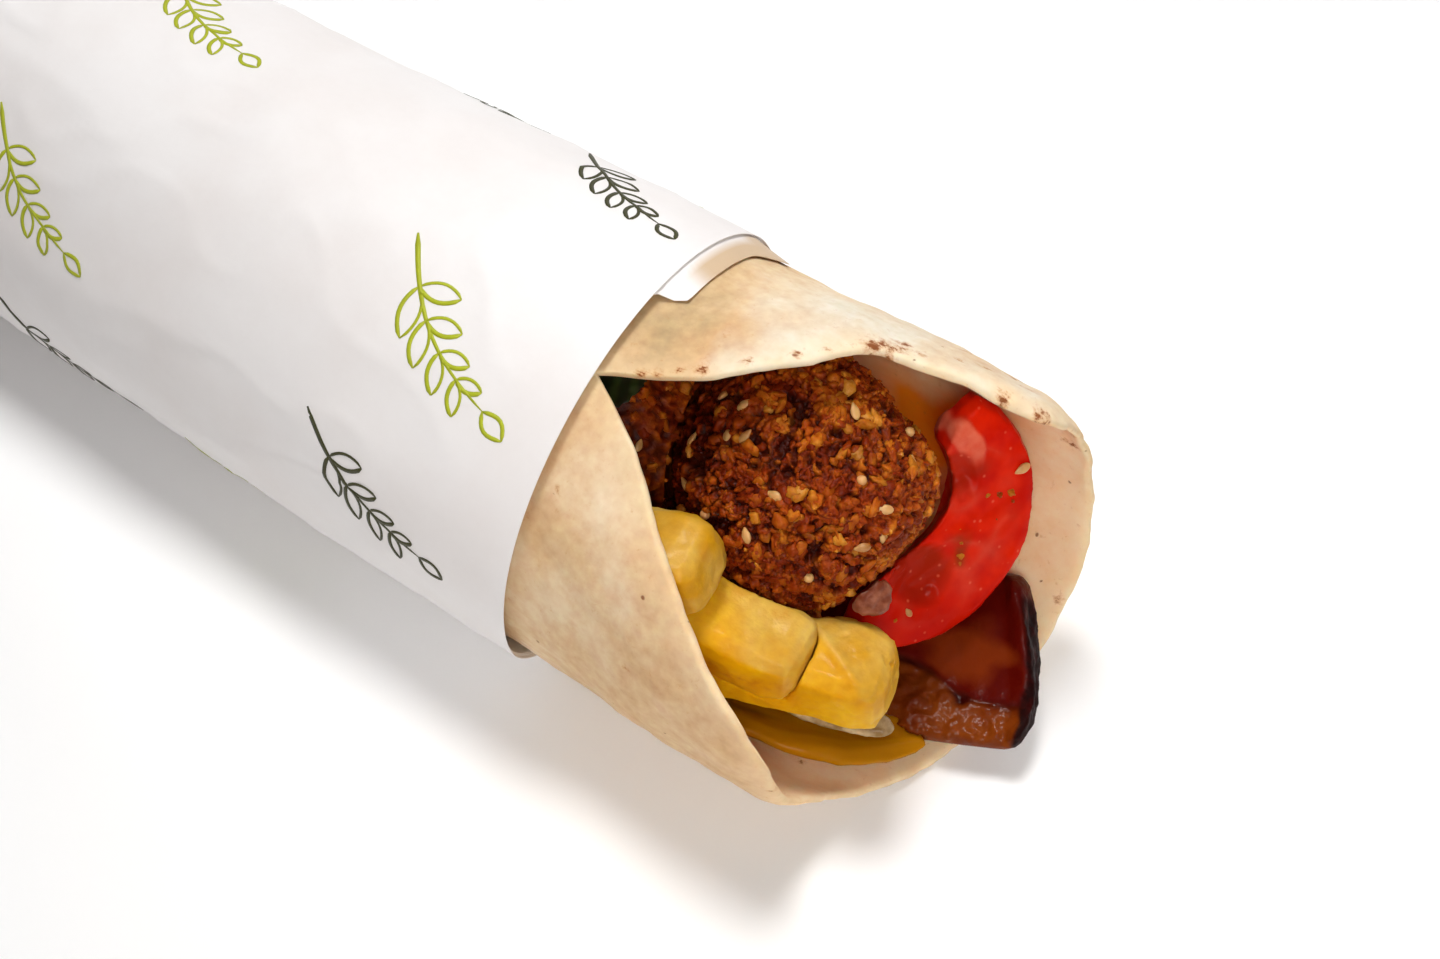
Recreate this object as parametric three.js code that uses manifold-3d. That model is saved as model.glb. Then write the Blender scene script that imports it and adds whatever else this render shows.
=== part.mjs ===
// A falafel wrap lying on its side: a rolled flatbread in a paper sleeve, open at one end, where
// falafel, tomato, fries, pickle, fried aubergine, onion and a herb leaf show.
// Millimetres, +Z up. The roll lies along X with its mouth towards +X, and rests on a flat strip of
// the sleeve at z = 0. Lengths "ahead" are measured along X from the sleeve's mouth.
import * as THREE from 'three';
import { mergeVertices } from 'three/addons/utils/BufferGeometryUtils.js';
import Module from 'manifold-3d';

const wasm = await Module();
wasm.setup();

// Driving dimensions
const mouthX = 38;              // the sleeve's mouth, from the origin under the middle of the roll
const sleeveLength = 145;       // from its mouth to its folded end
const sleeveRadius = 35.5;      // outside, at its mouth
const taper = 0.0287;           // radius lost for each millimetre towards the folded end
const sink = 1.6;               // how far the soft underside is pressed flat
const paperWall = 0.7;          // an outer and an inner layer of paper
const paperGap = 0.3;           // between the sleeve and the bread
const foldDepth = 9;            // over which the sleeve's end closes in
const pleats = 11;              // folds of the closed end
const breadWall = 2.3;
const breadInset = 1.9;         // the bread's radius at the mouth, under the sleeve's
const hollowDepth = 34;         // of the filled hollow, behind the sleeve's mouth
const bedLength = 20;           // how far the inner layers, under the falafel, reach ahead
const bedHeight = 21;           // their top, over the table
const falafelRadius = 19.4;
const tomatoRadius = 19.2;
const tomatoThick = 5.6;
const clearance = 0.35;         // between neighbouring fillings

// The bread's rim, from the notch round and back: degrees turned, how far it reaches ahead of the
// sleeve's mouth, and how far it leans out of the roll's own radius. It turns from the notch over
// the top to the far side first.
const notchAngle = 112;
const rim = [
  [0, 1.8, 0], [7, 10.6, 0], [16.2, 18.6, -0.2], [25.2, 23.4, -0.3], [31.2, 26, -0.3],
  [37.1, 28, -0.2], [42.5, 30, -0.2], [45.6, 32.4, -0.3], [49.6, 37.4, -0.6], [52.8, 42.2, -1.2],
  [56.2, 46.8, -2.2], [60, 50.8, -2.8], [66, 53, -3], [74, 53.8, -2.8], [90, 53.6, -2],
  [112, 54.8, -0.4], [139, 57, 0.6], [165, 57.2, 0.4], [197, 54.5, 0], [221, 50.2, -0.8],
  [242, 46.8, -1.4], [272, 45.5, -1.6], [292, 44.2, -0.8], [303, 40.5, 0], [314, 33.4, 0],
  [328, 25.2, 0], [339, 18.5, 0], [350, 11.5, 0], [360, 1.8, 0],
];
const leanPower = 20;           // the rim leans over its last few millimetres only

const TAU = Math.PI * 2;
const radians = THREE.MathUtils.degToRad;
const { lerp, smoothstep } = THREE.MathUtils;

// A smooth curve through a table's points, read from the given column by the first one.
function curveAt(points, value, column = 1) {
  const last = points.length - 2;
  let i = 0;
  while (i < last && value > points[i + 1][0]) i += 1;
  const slope = (a, b) => (b[column] - a[column]) / (b[0] - a[0]);
  const here = slope(points[i], points[i + 1]);
  const before = i > 0 ? (here + slope(points[i - 1], points[i])) / 2 : here;
  const after = i < last ? (here + slope(points[i + 1], points[i + 2])) / 2 : here;
  const span = points[i + 1][0] - points[i][0];
  const t = THREE.MathUtils.clamp((value - points[i][0]) / span, 0, 1);
  const rise = t * t * (3 - 2 * t);
  return lerp(points[i][column], points[i + 1][column], rise)
    + span * t * (1 - t) * (before * (1 - t) - after * t);
}

// Smooth noise from -1 to 1, the same each run.
function corner(x, y, z, seed) {
  let n = Math.imul(x, 73856093) ^ Math.imul(y, 19349663) ^ Math.imul(z, 83492791) ^ Math.imul(seed, 40503);
  n = Math.imul(n ^ (n >>> 13), 1274126177);
  return ((n ^ (n >>> 16)) & 0xffff) / 32767.5 - 1;
}

function noise(p, size, seed = 0) {
  const cell = [p.x / size, p.y / size, p.z / size];
  const low = cell.map(Math.floor);
  const [u, v, w] = cell.map((c, i) => smoothstep(c - low[i], 0, 1));
  const at = (i, j, k) => corner(low[0] + i, low[1] + j, low[2] + k, seed);
  const edge = (j, k) => lerp(at(0, j, k), at(1, j, k), u);
  return lerp(lerp(edge(0, 0), edge(1, 0), v), lerp(edge(0, 1), edge(1, 1), v), w);
}

// A row of pseudo-random numbers from 0 to 1.
function drawer(seed) {
  let n = 0;
  return () => {
    n += 1;
    return (corner(n, 7 * n, 3 * n, seed) + 1) / 2;
  };
}

// Solids and booleans
function toSolid(geometry) {
  const plain = geometry.clone();
  plain.deleteAttribute('normal');
  plain.deleteAttribute('uv');
  const merged = mergeVertices(plain, 1e-4);
  return new wasm.Manifold(new wasm.Mesh({
    numProp: 3,
    vertProperties: new Float32Array(merged.attributes.position.array),
    triVerts: new Uint32Array(merged.index.array),
  }));
}

function toGeometry(solid) {
  const mesh = solid.getMesh();
  const geometry = new THREE.BufferGeometry();
  geometry.setAttribute('position', new THREE.BufferAttribute(mesh.vertProperties, 3));
  geometry.setIndex(new THREE.BufferAttribute(mesh.triVerts, 1));
  geometry.computeVertexNormals();
  return geometry;
}

const biggest = (solid) => solid.decompose().sort((a, b) => b.volume() - a.volume())[0];

// A closed skin from pole to pole: row 0 and the last row are the poles, and place(row, turn)
// gives each point, with turn from 0 to 1. A lathe makes the rings, and each of its points is then
// put where it belongs.
function skin(rows, around, place) {
  const line = Array.from({ length: rows }, (_, i) => (
    new THREE.Vector2(i === 0 || i === rows - 1 ? 0 : 1, i)));
  const geometry = new THREE.LatheGeometry(line, around);
  const { position } = geometry.attributes;
  for (let k = 0; k < position.count; k += 1) {
    const column = Math.floor(k / rows) % around;
    const p = place(k % rows, column / around);
    position.setXYZ(k, p.x, p.y, p.z);
  }
  geometry.computeVertexNormals();
  return geometry;
}

// A rounded slab along X, for fries and cut vegetables. Its section is between a round, 2, and a
// square, 8, and so is its plan. grow makes it wider all round. shape(p, t) may move each point,
// with t from 0 to 1 along it.
function slab({ size, grow = 0, square = 4, plan = 5, rows = 9, around = 16, shape = null }) {
  const [length, width, thick] = size.map((side) => side + 2 * grow);
  return skin(rows, around, (row, turn) => {
    const along = -Math.cos((row / (rows - 1)) * Math.PI);
    const x = Math.sign(along) * (1 - (1 - Math.abs(along)) ** 1.6);
    const ring = (1 - Math.abs(x) ** plan) ** (1.8 / plan);
    const c = Math.cos(turn * TAU);
    const s = Math.sin(turn * TAU);
    const reach = ring / (Math.abs(c) ** square + Math.abs(s) ** square) ** (1 / square);
    const p = new THREE.Vector3(x * length / 2, reach * c * width / 2, reach * s * thick / 2);
    return shape ? shape(p, (x + 1) / 2) : p;
  });
}

// The roll's own form
const radiusAt = (ahead) => sleeveRadius + taper * ahead;
const axisZ = (ahead) => radiusAt(ahead) - sink;

function rollPoint(ahead, radius, angle, floor) {
  return new THREE.Vector3(
    ahead,
    radius * Math.cos(angle),
    Math.max(axisZ(ahead) + radius * Math.sin(angle), floor),
  );
}

// The sleeve. Its inner layer shows past the outer one at the top of the far side.
function mouthEdge(angle) {
  const under = Math.max(0, Math.cos(angle - radians(238))) ** 6;
  return -2.2 * Math.cos(angle) + 2 * Math.sin(angle) - 2.5 * under;
}

function layerEdge(angle) {
  const turned = THREE.MathUtils.radToDeg(THREE.MathUtils.euclideanModulo(angle, TAU));
  const tab = 4.6 * smoothstep(turned, 28, 40) * (1 - smoothstep(turned, 84, 90));
  return mouthEdge(angle) - 0.8 + tab + 3 * smoothstep(turned, 30, 40) * (1 - smoothstep(turned, 41, 54));
}

function creases(ahead, angle) {
  const p = new THREE.Vector3(ahead / 2.2, 34 * Math.cos(angle), 34 * Math.sin(angle));
  const soft = 0.5 + 0.5 * noise(p, 14, 7);
  return 0.7 * soft * smoothstep(-ahead, 0, 14);
}

function sleeveGeometry() {
  const endX = -sleeveLength;
  const fold = [0.06, 0.34, 0.66, 0.88, 0.98];
  const wall = [0, 0.04, 0.14, 0.27, 0.41, 0.56, 0.7, 0.83, 0.93, 1];
  const lining = [0.6, 0.15];
  // A pleat rises slowly and drops sharply, and the folds wind towards the sunken middle.
  const pleat = (share, turn) => {
    const wound = turn * pleats + (1 - share) * 0.9;
    return (wound - Math.floor(wound)) * Math.sin(share * Math.PI);
  };
  const foldPoint = (share, turn, inset) => {
    const edge = radiusAt(endX + foldDepth) - inset;
    const closing = foldDepth * (1 - Math.sqrt(1 - (share * 0.94) ** 4));
    const ahead = endX + 1.6 + inset + closing - 1.6 * pleat(share, turn) + 2.4 * (1 - share) ** 2;
    return rollPoint(ahead, edge * share, turn * TAU, inset);
  };
  const wallPoint = (share, turn, inset, edge) => {
    const ahead = lerp(endX + foldDepth, edge, share);
    return rollPoint(ahead, radiusAt(ahead) + creases(ahead, turn * TAU) - inset, turn * TAU, inset);
  };
  const rings = [
    ...fold.map((share) => (turn) => foldPoint(share, turn, 0)),
    ...wall.map((share) => (turn) => wallPoint(share, turn, 0, mouthEdge(turn * TAU))),
    (turn) => wallPoint(0.995, turn, paperWall / 2, mouthEdge(turn * TAU)),
    (turn) => wallPoint(1, turn, paperWall / 2, layerEdge(turn * TAU)),
    (turn) => wallPoint(1, turn, paperWall, layerEdge(turn * TAU)),
    ...lining.map((share) => (turn) => wallPoint(share, turn, paperWall, mouthEdge(turn * TAU))),
    ...fold.toReversed().map((share) => (turn) => foldPoint(share, turn, paperWall)),
  ];
  return skin(rings.length + 2, 50, (row, turn) => {
    if (row === 0) return rollPoint(endX + 4, 0, 0, 0);
    if (row > rings.length) return rollPoint(endX + 4 + paperWall, 0, 0, 0);
    return rings[row - 1](turn);
  });
}

// The flatbread is solid behind its hollow. Its columns are spaced evenly along the rim, and run
// back from the notch, so that its faces point out.
function spacedTurns(count) {
  const steps = 720;
  const lengths = [0];
  for (let i = 1; i <= steps; i += 1) {
    const [a, b] = [(i - 1) * 360 / steps, i * 360 / steps];
    const across = radians(b - a) * sleeveRadius;
    lengths.push(lengths[i - 1] + Math.hypot(across, curveAt(rim, b) - curveAt(rim, a)));
  }
  return Array.from({ length: count }, (_, k) => {
    const wanted = (k / count) * lengths[steps];
    return lengths.findIndex((sum) => sum >= wanted) * 360 / steps;
  }).reverse();
}

function breadRadius(ahead, angle) {
  const p = new THREE.Vector3(ahead, 34 * Math.cos(angle), 34 * Math.sin(angle));
  const uneven = 0.6 * noise(p, 17, 3) * smoothstep(ahead, 0, 8);
  return radiusAt(ahead) - lerp(paperWall + paperGap, breadInset, smoothstep(ahead, -14, 0)) + uneven;
}

function breadGeometry() {
  const columns = spacedTurns(58);
  const endX = -sleeveLength + 6.5;
  const coveredFrom = endX + 4;
  const bareFrom = -14;
  const angleAt = (turn) => radians(notchAngle - columns[Math.round(turn * columns.length)]);
  const barePoint = (share, back, inset, turn) => {
    const turned = columns[Math.round(turn * columns.length)];
    const angle = angleAt(turn);
    const ahead = lerp(back, curveAt(rim, turned), share);
    const lean = curveAt(rim, turned, 2) * smoothstep(ahead, 4, 34) * share ** leanPower;
    const floor = lerp(paperWall + paperGap, 0.3, smoothstep(ahead, 3, 10));
    return rollPoint(ahead, breadRadius(ahead, angle) + lean - inset, angle, floor + inset);
  };
  const rings = [
    ...[0.55, 0.9].map((share) => (turn) => rollPoint(
      endX + 4 * (1 - Math.sqrt(1 - share ** 2)),
      breadRadius(coveredFrom, angleAt(turn)) * share,
      angleAt(turn),
      paperWall + paperGap,
    )),
    ...[0.1, 0.45, 0.8].map((share) => (turn) => {
      const ahead = lerp(coveredFrom, bareFrom, share);
      return rollPoint(ahead, breadRadius(ahead, angleAt(turn)), angleAt(turn), paperWall + paperGap);
    }),
    ...[0, 0.15, 0.3, 0.45, 0.6, 0.74, 0.86, 0.95].map((share) => (turn) => (
      barePoint(share, bareFrom, 0, turn))),
    (turn) => barePoint(1, bareFrom, 0.3, turn),
    (turn) => barePoint(1, -hollowDepth, 0.6 * breadWall, turn),
    ...[0.94, 0.8, 0.64, 0.46, 0.24, 0].map((share) => (turn) => (
      barePoint(share, -hollowDepth, breadWall, turn))),
  ];
  return skin(rings.length + 2, columns.length, (row, turn) => {
    if (row === 0) return rollPoint(endX, 0, 0, 0);
    if (row > rings.length) return rollPoint(-hollowDepth, 0, 0, 0);
    return rings[row - 1](turn);
  });
}

// The roll's inner layers, on which the falafel lies.
function bedGeometry() {
  const length = hollowDepth + bedLength + 2;
  return slab({
    size: [length, 58, 40], square: 2.4, plan: 7, rows: 8, around: 18,
    shape: (p) => {
      const ahead = p.x + length / 2 - hollowDepth - 2;
      const uneven = 0.8 * noise(p, 9, 13);
      const inner = radiusAt(ahead) - breadInset - 0.8;
      const across = THREE.MathUtils.clamp(p.y, -inner + 2, inner - 2);
      const lowest = axisZ(ahead) - Math.sqrt(inner ** 2 - across ** 2);
      const top = bedHeight + 0.012 * across ** 2 + uneven - 0.08 * ahead;
      return new THREE.Vector3(ahead, across, lerp(lowest + 0.2, top, smoothstep(p.z, -20, 20)));
    },
  });
}

// Falafel: a crumbly ball with lumps, pits and sesame seeds stuck to it. The front one is pressed
// flat on two sides: which way each faces, and how far it is from the ball's middle.
const pressedSides = [
  { facing: new THREE.Vector3(0.295, 0.867, 0.404), reach: 16.4 },
  { facing: new THREE.Vector3(0.885, -0.068, -0.458), reach: 15.8 },
];

function ballRadius(direction, flats) {
  let radius = falafelRadius;
  for (const { facing, reach } of flats) {
    const flat = reach / Math.max(direction.dot(facing), 0.3);
    const blend = Math.max(1 - Math.abs(radius - flat) / 2, 0);
    radius = Math.min(radius, flat) - blend ** 2 / 2;
  }
  return radius;
}

function crumbs(direction, seed) {
  const p = direction.clone().multiplyScalar(falafelRadius);
  const lumps = 0.7 * noise(p, 13, seed) + 0.5 * noise(p, 6.5, seed + 1);
  const crags = 0.8 * Math.abs(noise(p, 3.6, seed + 2));
  return lumps - crags;
}

function falafelSolid(seed, detail, seedCount, flats = []) {
  const ball = new THREE.IcosahedronGeometry(falafelRadius, detail);
  const { position } = ball.attributes;
  const p = new THREE.Vector3();
  for (let k = 0; k < position.count; k += 1) {
    const direction = p.fromBufferAttribute(position, k).normalize().clone();
    p.copy(direction).multiplyScalar(ballRadius(direction, flats) + crumbs(direction, seed));
    position.setXYZ(k, p.x, p.y, p.z);
  }
  let solid = toSolid(ball);
  const draw = drawer(seed);
  for (let k = 0; k < seedCount; k += 1) {
    // Evenly spread by the golden angle, each nudged a little.
    const height = 1 - (2 * (k + 0.5)) / seedCount;
    const turn = k * 2.39996 + 0.5 * draw();
    const flat = Math.sqrt(1 - height * height);
    const direction = new THREE.Vector3(flat * Math.cos(turn), flat * Math.sin(turn), height);
    const seedShape = new THREE.SphereGeometry(1, 5, 4);
    seedShape.scale(1.5 + 0.3 * draw(), 0.95, 0.6);
    seedShape.rotateZ(TAU * draw());
    const face = new THREE.Quaternion().setFromUnitVectors(new THREE.Vector3(0, 0, 1), direction);
    seedShape.applyQuaternion(face);
    const surface = ballRadius(direction, flats) + crumbs(direction, seed);
    const stuck = direction.multiplyScalar(surface + 0.15);
    seedShape.translate(stuck.x, stuck.y, stuck.z);
    solid = solid.add(toSolid(seedShape));
  }
  return biggest(solid);
}

const falafelPlaces = {
  front: new THREE.Vector3(24.9, 5.8, 39.9),
  back: new THREE.Vector3(-7.6, -2.4, 37),
};

function ballRoom(place, room, flats = []) {
  const ball = new THREE.IcosahedronGeometry(1, 4);
  const { position } = ball.attributes;
  const p = new THREE.Vector3();
  for (let k = 0; k < position.count; k += 1) {
    p.fromBufferAttribute(position, k);
    p.multiplyScalar(ballRadius(p, flats) + room).add(place);
    position.setXYZ(k, p.x, p.y, p.z);
  }
  return toSolid(ball);
}

// Moves a geometry from its own axes to a place, its X and Z axes turned to the directions given.
function lay(geometry, place, along, up) {
  const x = new THREE.Vector3(...along).normalize();
  const z = new THREE.Vector3(...up);
  z.addScaledVector(x, -x.dot(z)).normalize();
  const y = new THREE.Vector3().crossVectors(z, x);
  geometry.applyMatrix4(new THREE.Matrix4().makeBasis(x, y, z).setPosition(...place));
  return geometry;
}

// Tomato: a slice with one side cut off, its arc towards +X, and a juicy wall round the pockets.
const tomatoPlace = [38.2, 12.6, 34.5];
const tomatoArc = [0.58, 0.6, -0.55];
const tomatoFace = [0.76, -0.46, 0.46];
const tomatoStretch = 1.06;     // its outline is a little long across the arc
const tomatoCut = 2;            // how far past the slice's middle the straight cut lies
const tomatoPockets = [[2.3, 9, 3.8], [3.8, -7, 5.6]];  // the middle and radius of each

function tomatoGeometry(grow) {
  return lay(cutSlice(grow), tomatoPlace, tomatoArc, tomatoFace);
}

function cutSlice(grow) {
  const radius = tomatoRadius + grow;
  const half = tomatoThick / 2 + grow;
  const pole = 0.4 * tomatoRadius;
  const back = [0.5, 0.9];
  const front = [0.95, 0.84, 0.72, 0.6, 0.46, 0.3, 0.14];
  const outline = (c, s) => {
    const arc = -pole * c + Math.sqrt(radius ** 2 - (pole * s) ** 2);
    const cut = c < -0.01 ? (pole + tomatoCut + grow + 0.8 * Math.sin(6 * s)) / -c : arc;
    return Math.min(arc, cut);
  };
  const pocket = (x, y) => {
    const within = ([px, py, size]) => 1 - smoothstep(Math.hypot(x - px, y - py), 0.55 * size, size);
    return grow > 0 ? 0 : 1.6 * Math.max(...tomatoPockets.map(within));
  };
  const rows = back.length + front.length + 4;
  return skin(rows, 36, (row, turn) => {
    if (row === 0) return new THREE.Vector3(pole, 0, -half);
    if (row === rows - 1) return new THREE.Vector3(pole, 0, half);
    const c = Math.cos(turn * TAU);
    const s = Math.sin(turn * TAU);
    let share = 1;
    let z = row === back.length + 1 ? -half * 0.4 : half * 0.4;
    if (row <= back.length) {
      share = back[row - 1];
      z = -half;
    } else if (row > back.length + 2) {
      share = front[row - back.length - 3];
      z = half;
    }
    const x = pole + share * outline(c, s) * c;
    const y = tomatoStretch * share * outline(c, s) * s;
    const rounded = share > 0.9 ? 0.3 : 0;
    const skinned = share > 0.8 && row > back.length + 2 ? 0.25 * noise(new THREE.Vector3(x, y, 0), 6, 4) : 0;
    return new THREE.Vector3(x, y, z > 0 ? z - pocket(x, y) - rounded + skinned : z);
  });
}

// Fries: thick-cut potato, each a little bent, twisted and uneven.
const fries = {
  top: { size: [30, 12.2, 10.6], end: [26.4, -19.6, 47.8], along: [0.93, 0.16, 0.33], bend: 0.6 },
  middle: { size: [33, 12.2, 10.4], end: [40.2, -16, 33], along: [0.97, 0.2, -0.16], bend: -0.5 },
  low: { size: [34, 13, 12], end: [50.5, -9.6, 29], along: [0.95, 0.3, 0.06], bend: 0.7 },
};

function fryGeometry({ size, end, along, bend }, grow) {
  const fry = slab({
    size, grow, square: 5, plan: 8, rows: 11, around: 20,
    shape: (p, t) => {
      const twist = 0.22 * (t - 0.5);
      const y = p.y * Math.cos(twist) - p.z * Math.sin(twist);
      const z = p.y * Math.sin(twist) + p.z * Math.cos(twist);
      const uneven = 1 + 0.05 * noise(new THREE.Vector3(p.x + end[0], y, z), 7, size[0]);
      return new THREE.Vector3(p.x, y * uneven, z * uneven + bend * (4 * t * (1 - t)));
    },
  });
  const direction = new THREE.Vector3(...along).normalize();
  const middle = new THREE.Vector3(...end).addScaledVector(direction, -size[0] / 2);
  return lay(fry, middle.toArray(), along, [0, 0, 1]);
}

// A piece that lies on the inside of the bread: X stays the length and Y becomes the way round, from
// the angle given. Z is the height over the bread, plus lift and a rise towards the mouth.
function alongBread(geometry, { ahead, angle, yaw, lift, rise }) {
  geometry.rotateZ(radians(yaw));
  const { position } = geometry.attributes;
  for (let k = 0; k < position.count; k += 1) {
    const x = ahead + position.getX(k);
    const inner = radiusAt(x) - breadInset - breadWall - 0.9 - lift - rise * position.getX(k);
    const turn = radians(angle) + position.getY(k) / inner;
    const p = rollPoint(x, inner - position.getZ(k), turn, 0);
    position.setXYZ(k, p.x, p.y, p.z);
  }
  geometry.computeVertexNormals();
  return geometry;
}

// Pickle: a long slice with a pointed end, lying in the bottom of the bread.
function pickleGeometry(grow) {
  const slice = slab({
    size: [44, 22, 4], grow, square: 2.6, plan: 2.6, rows: 11, around: 18,
    shape: (p, t) => {
      const point = 1 - 0.3 * smoothstep(t, 0.55, 1);
      const ridge = 0.25 * Math.cos(p.y * 1.6);
      return new THREE.Vector3(p.x, p.y * point, p.z + (p.z > 0 ? ridge : 0) + 2);
    },
  });
  return alongBread(slice, { ahead: 33, angle: -110.5, yaw: 25, lift: 0.2, rise: 0.02 });
}

// Aubergine: a fried slice with its charred skin standing along the outer edge and a fold across it.
function aubergineGeometry(grow) {
  const width = 28.5;
  const slice = slab({
    size: [36, width, 4.4], grow, square: 3.6, plan: 16, rows: 15, around: 24,
    shape: (p, t) => {
      const side = p.y / (width / 2);
      const edge = new THREE.Vector3(p.x, p.y, 0);
      const skinRim = (1.3 + 0.5 * noise(edge, 4, 6)) * smoothstep(t, 0.91, 0.97);
      const cornerCut = side > 0 ? 2 * side * side : -2.2 * side;
      const bow = (1.2 * noise(edge, 8, 2) - cornerCut) * smoothstep(t, 0.8, 1);
      const foldLine = side + 0.42 - 0.35 * (1 - t);
      const fold = 0.9 * smoothstep(foldLine, -0.12, 0.1) - 0.5 * Math.exp(-((foldLine / 0.12) ** 2));
      const uneven = 0.35 * noise(edge, 6, 5);
      const rise = p.z > 0 ? skinRim + fold + uneven : 0;
      return new THREE.Vector3(p.x + bow, p.y, p.z + rise + 2.2);
    },
  });
  return alongBread(slice, { ahead: 44, angle: -70.5, yaw: 28, lift: 0.4, rise: 0.02 });
}

// Onion: a thin strip under the fries, and a soft chunk between the falafel and the tomato.
function onionStripGeometry(grow) {
  const strip = slab({ size: [17, 4.5, 2], grow, square: 2.4, plan: 4, rows: 9, around: 12 });
  return lay(strip, [41.6, -9.2, 13], [0.93, 0.34, -0.02], [0.1, -0.3, 0.95]);
}

function onionChunkGeometry(grow) {
  const chunk = slab({
    size: [6.4, 6, 4.6], grow, square: 2.6, plan: 2.6, rows: 9, around: 12,
    shape: (p) => p.multiplyScalar(1 + 0.12 * noise(p, 2.2, 9)),
  });
  return lay(chunk, [42.6, -3.9, 38], [0.3, 0.9, 0.2], [0.6, -0.6, 0.4]);
}

// Herb leaf: thin and wavy, tucked behind the notch.
function leafGeometry(grow) {
  const leaf = slab({
    size: [17, 13, 0.9], grow, square: 2.2, plan: 2.2, rows: 9, around: 14,
    shape: (p, t) => {
      const lobes = 1 + 0.16 * Math.cos(t * 15);
      const wave = 0.8 * Math.sin(p.x * 0.75) * (0.3 + Math.abs(p.y) / 6) + 0.05 * p.y * p.y;
      return new THREE.Vector3(p.x, p.y * lobes, p.z + wave);
    },
  });
  return lay(leaf, [-3.5, -7.5, 57.4], [0.75, 0.5, -0.2], [0.3, -0.2, 0.9]);
}

// Colours and finish
const finish = (color, roughness) => new THREE.MeshStandardMaterial({ color, roughness, metalness: 0 });
const paper = finish(0xece6e2, 0.6);
const bread = finish(0xe3c49c, 0.85);
const fried = finish(0x6e3d14, 0.7);
const tomato = finish(0xc01c0c, 0.25);
const potato = finish(0xdfa92e, 0.45);
const pickle = finish(0x86650b, 0.3);
const aubergine = finish(0x7a3508, 0.3);
const onion = finish(0xd9cdb8, 0.3);
const herb = finish(0x24380e, 0.5);

// Assembly. Each filling is cut clear of the ones laid before it.
const wrap = new THREE.Group();
wrap.position.x = mouthX;

function addPiece(name, solid, material, place = new THREE.Vector3()) {
  const mesh = new THREE.Mesh(toGeometry(biggest(solid)), material);
  mesh.name = name;
  mesh.position.copy(place);
  wrap.add(mesh);
}

const { front, back } = falafelPlaces;
const crust = 1.2;
const frontRoom = ballRoom(front, crust + clearance, pressedSides);
const backRoom = ballRoom(back, crust + clearance);
addPiece('falafel_front', falafelSolid(11, 8, 20, pressedSides), fried, front);
// The two press together, so the one behind is dented by the one in front.
const dent = frontRoom.translate([-back.x, -back.y, -back.z]);
addPiece('falafel_back', falafelSolid(29, 5, 8).subtract(dent), fried, back);

let laid = frontRoom.add(backRoom);
const fillings = [
  ['tomato_slice', tomatoGeometry, tomato],
  ['fry_top', (grow) => fryGeometry(fries.top, grow), potato],
  ['fry_middle', (grow) => fryGeometry(fries.middle, grow), potato],
  ['fry_low', (grow) => fryGeometry(fries.low, grow), potato],
  ['pickle_slice', pickleGeometry, pickle],
  ['aubergine_slice', aubergineGeometry, aubergine],
  ['onion_strip', onionStripGeometry, onion],
  ['onion_chunk', onionChunkGeometry, onion],
  ['herb_leaf', leafGeometry, herb],
];
for (const [name, shape, material] of fillings) {
  addPiece(name, toSolid(shape(0)).subtract(laid), material);
  laid = laid.add(toSolid(shape(clearance)));
}
addPiece('paper_sleeve', toSolid(sleeveGeometry()), paper);
const bed = toSolid(bedGeometry()).subtract(laid);
addPiece('flatbread', toSolid(breadGeometry()).add(bed), bread);

export default wrap;
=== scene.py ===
"""A falafel wrap in a printed paper sleeve, lying on its side and open at one end.

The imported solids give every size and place. This file gives each of them its final surface and
finish: the sleeve and its print, the flatbread, the falafels with their crumbs and seeds, and the
tomato, fries, pickle, aubergine, onion and herb leaf. Sizes are in millimetres until they go into
a mesh. "Ahead" is the length along X from the sleeve's mouth.
"""

import random
from functools import partial
from math import atan2, cos, degrees, exp, floor, hypot, pi, radians, sin, sqrt, tau

import bmesh
import bpy
import numpy as np
from mathutils import Matrix, Vector, noise


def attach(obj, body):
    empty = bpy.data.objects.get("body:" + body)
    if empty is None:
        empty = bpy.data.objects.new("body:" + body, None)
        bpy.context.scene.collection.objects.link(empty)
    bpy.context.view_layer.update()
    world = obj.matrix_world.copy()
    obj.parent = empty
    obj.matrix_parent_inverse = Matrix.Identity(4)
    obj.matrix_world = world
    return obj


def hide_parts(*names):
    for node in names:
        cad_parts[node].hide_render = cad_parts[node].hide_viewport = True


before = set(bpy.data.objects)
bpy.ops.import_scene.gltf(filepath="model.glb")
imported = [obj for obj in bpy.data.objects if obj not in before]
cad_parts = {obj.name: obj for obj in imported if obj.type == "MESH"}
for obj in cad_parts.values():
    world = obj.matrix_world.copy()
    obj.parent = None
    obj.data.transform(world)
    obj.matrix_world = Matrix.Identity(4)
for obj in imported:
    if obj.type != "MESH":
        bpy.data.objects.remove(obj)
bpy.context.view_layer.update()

bl_info = {
    "name": "Falafel Wrap",
    "version": (1, 0, 0),
    "blender": (4, 5, 0),
    "location": "View3D > Sidebar > Wrap",
    "description": "Builds the looks of a falafel wrap in a paper sleeve",
    "category": "Object",
}

MM = 0.001

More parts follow.
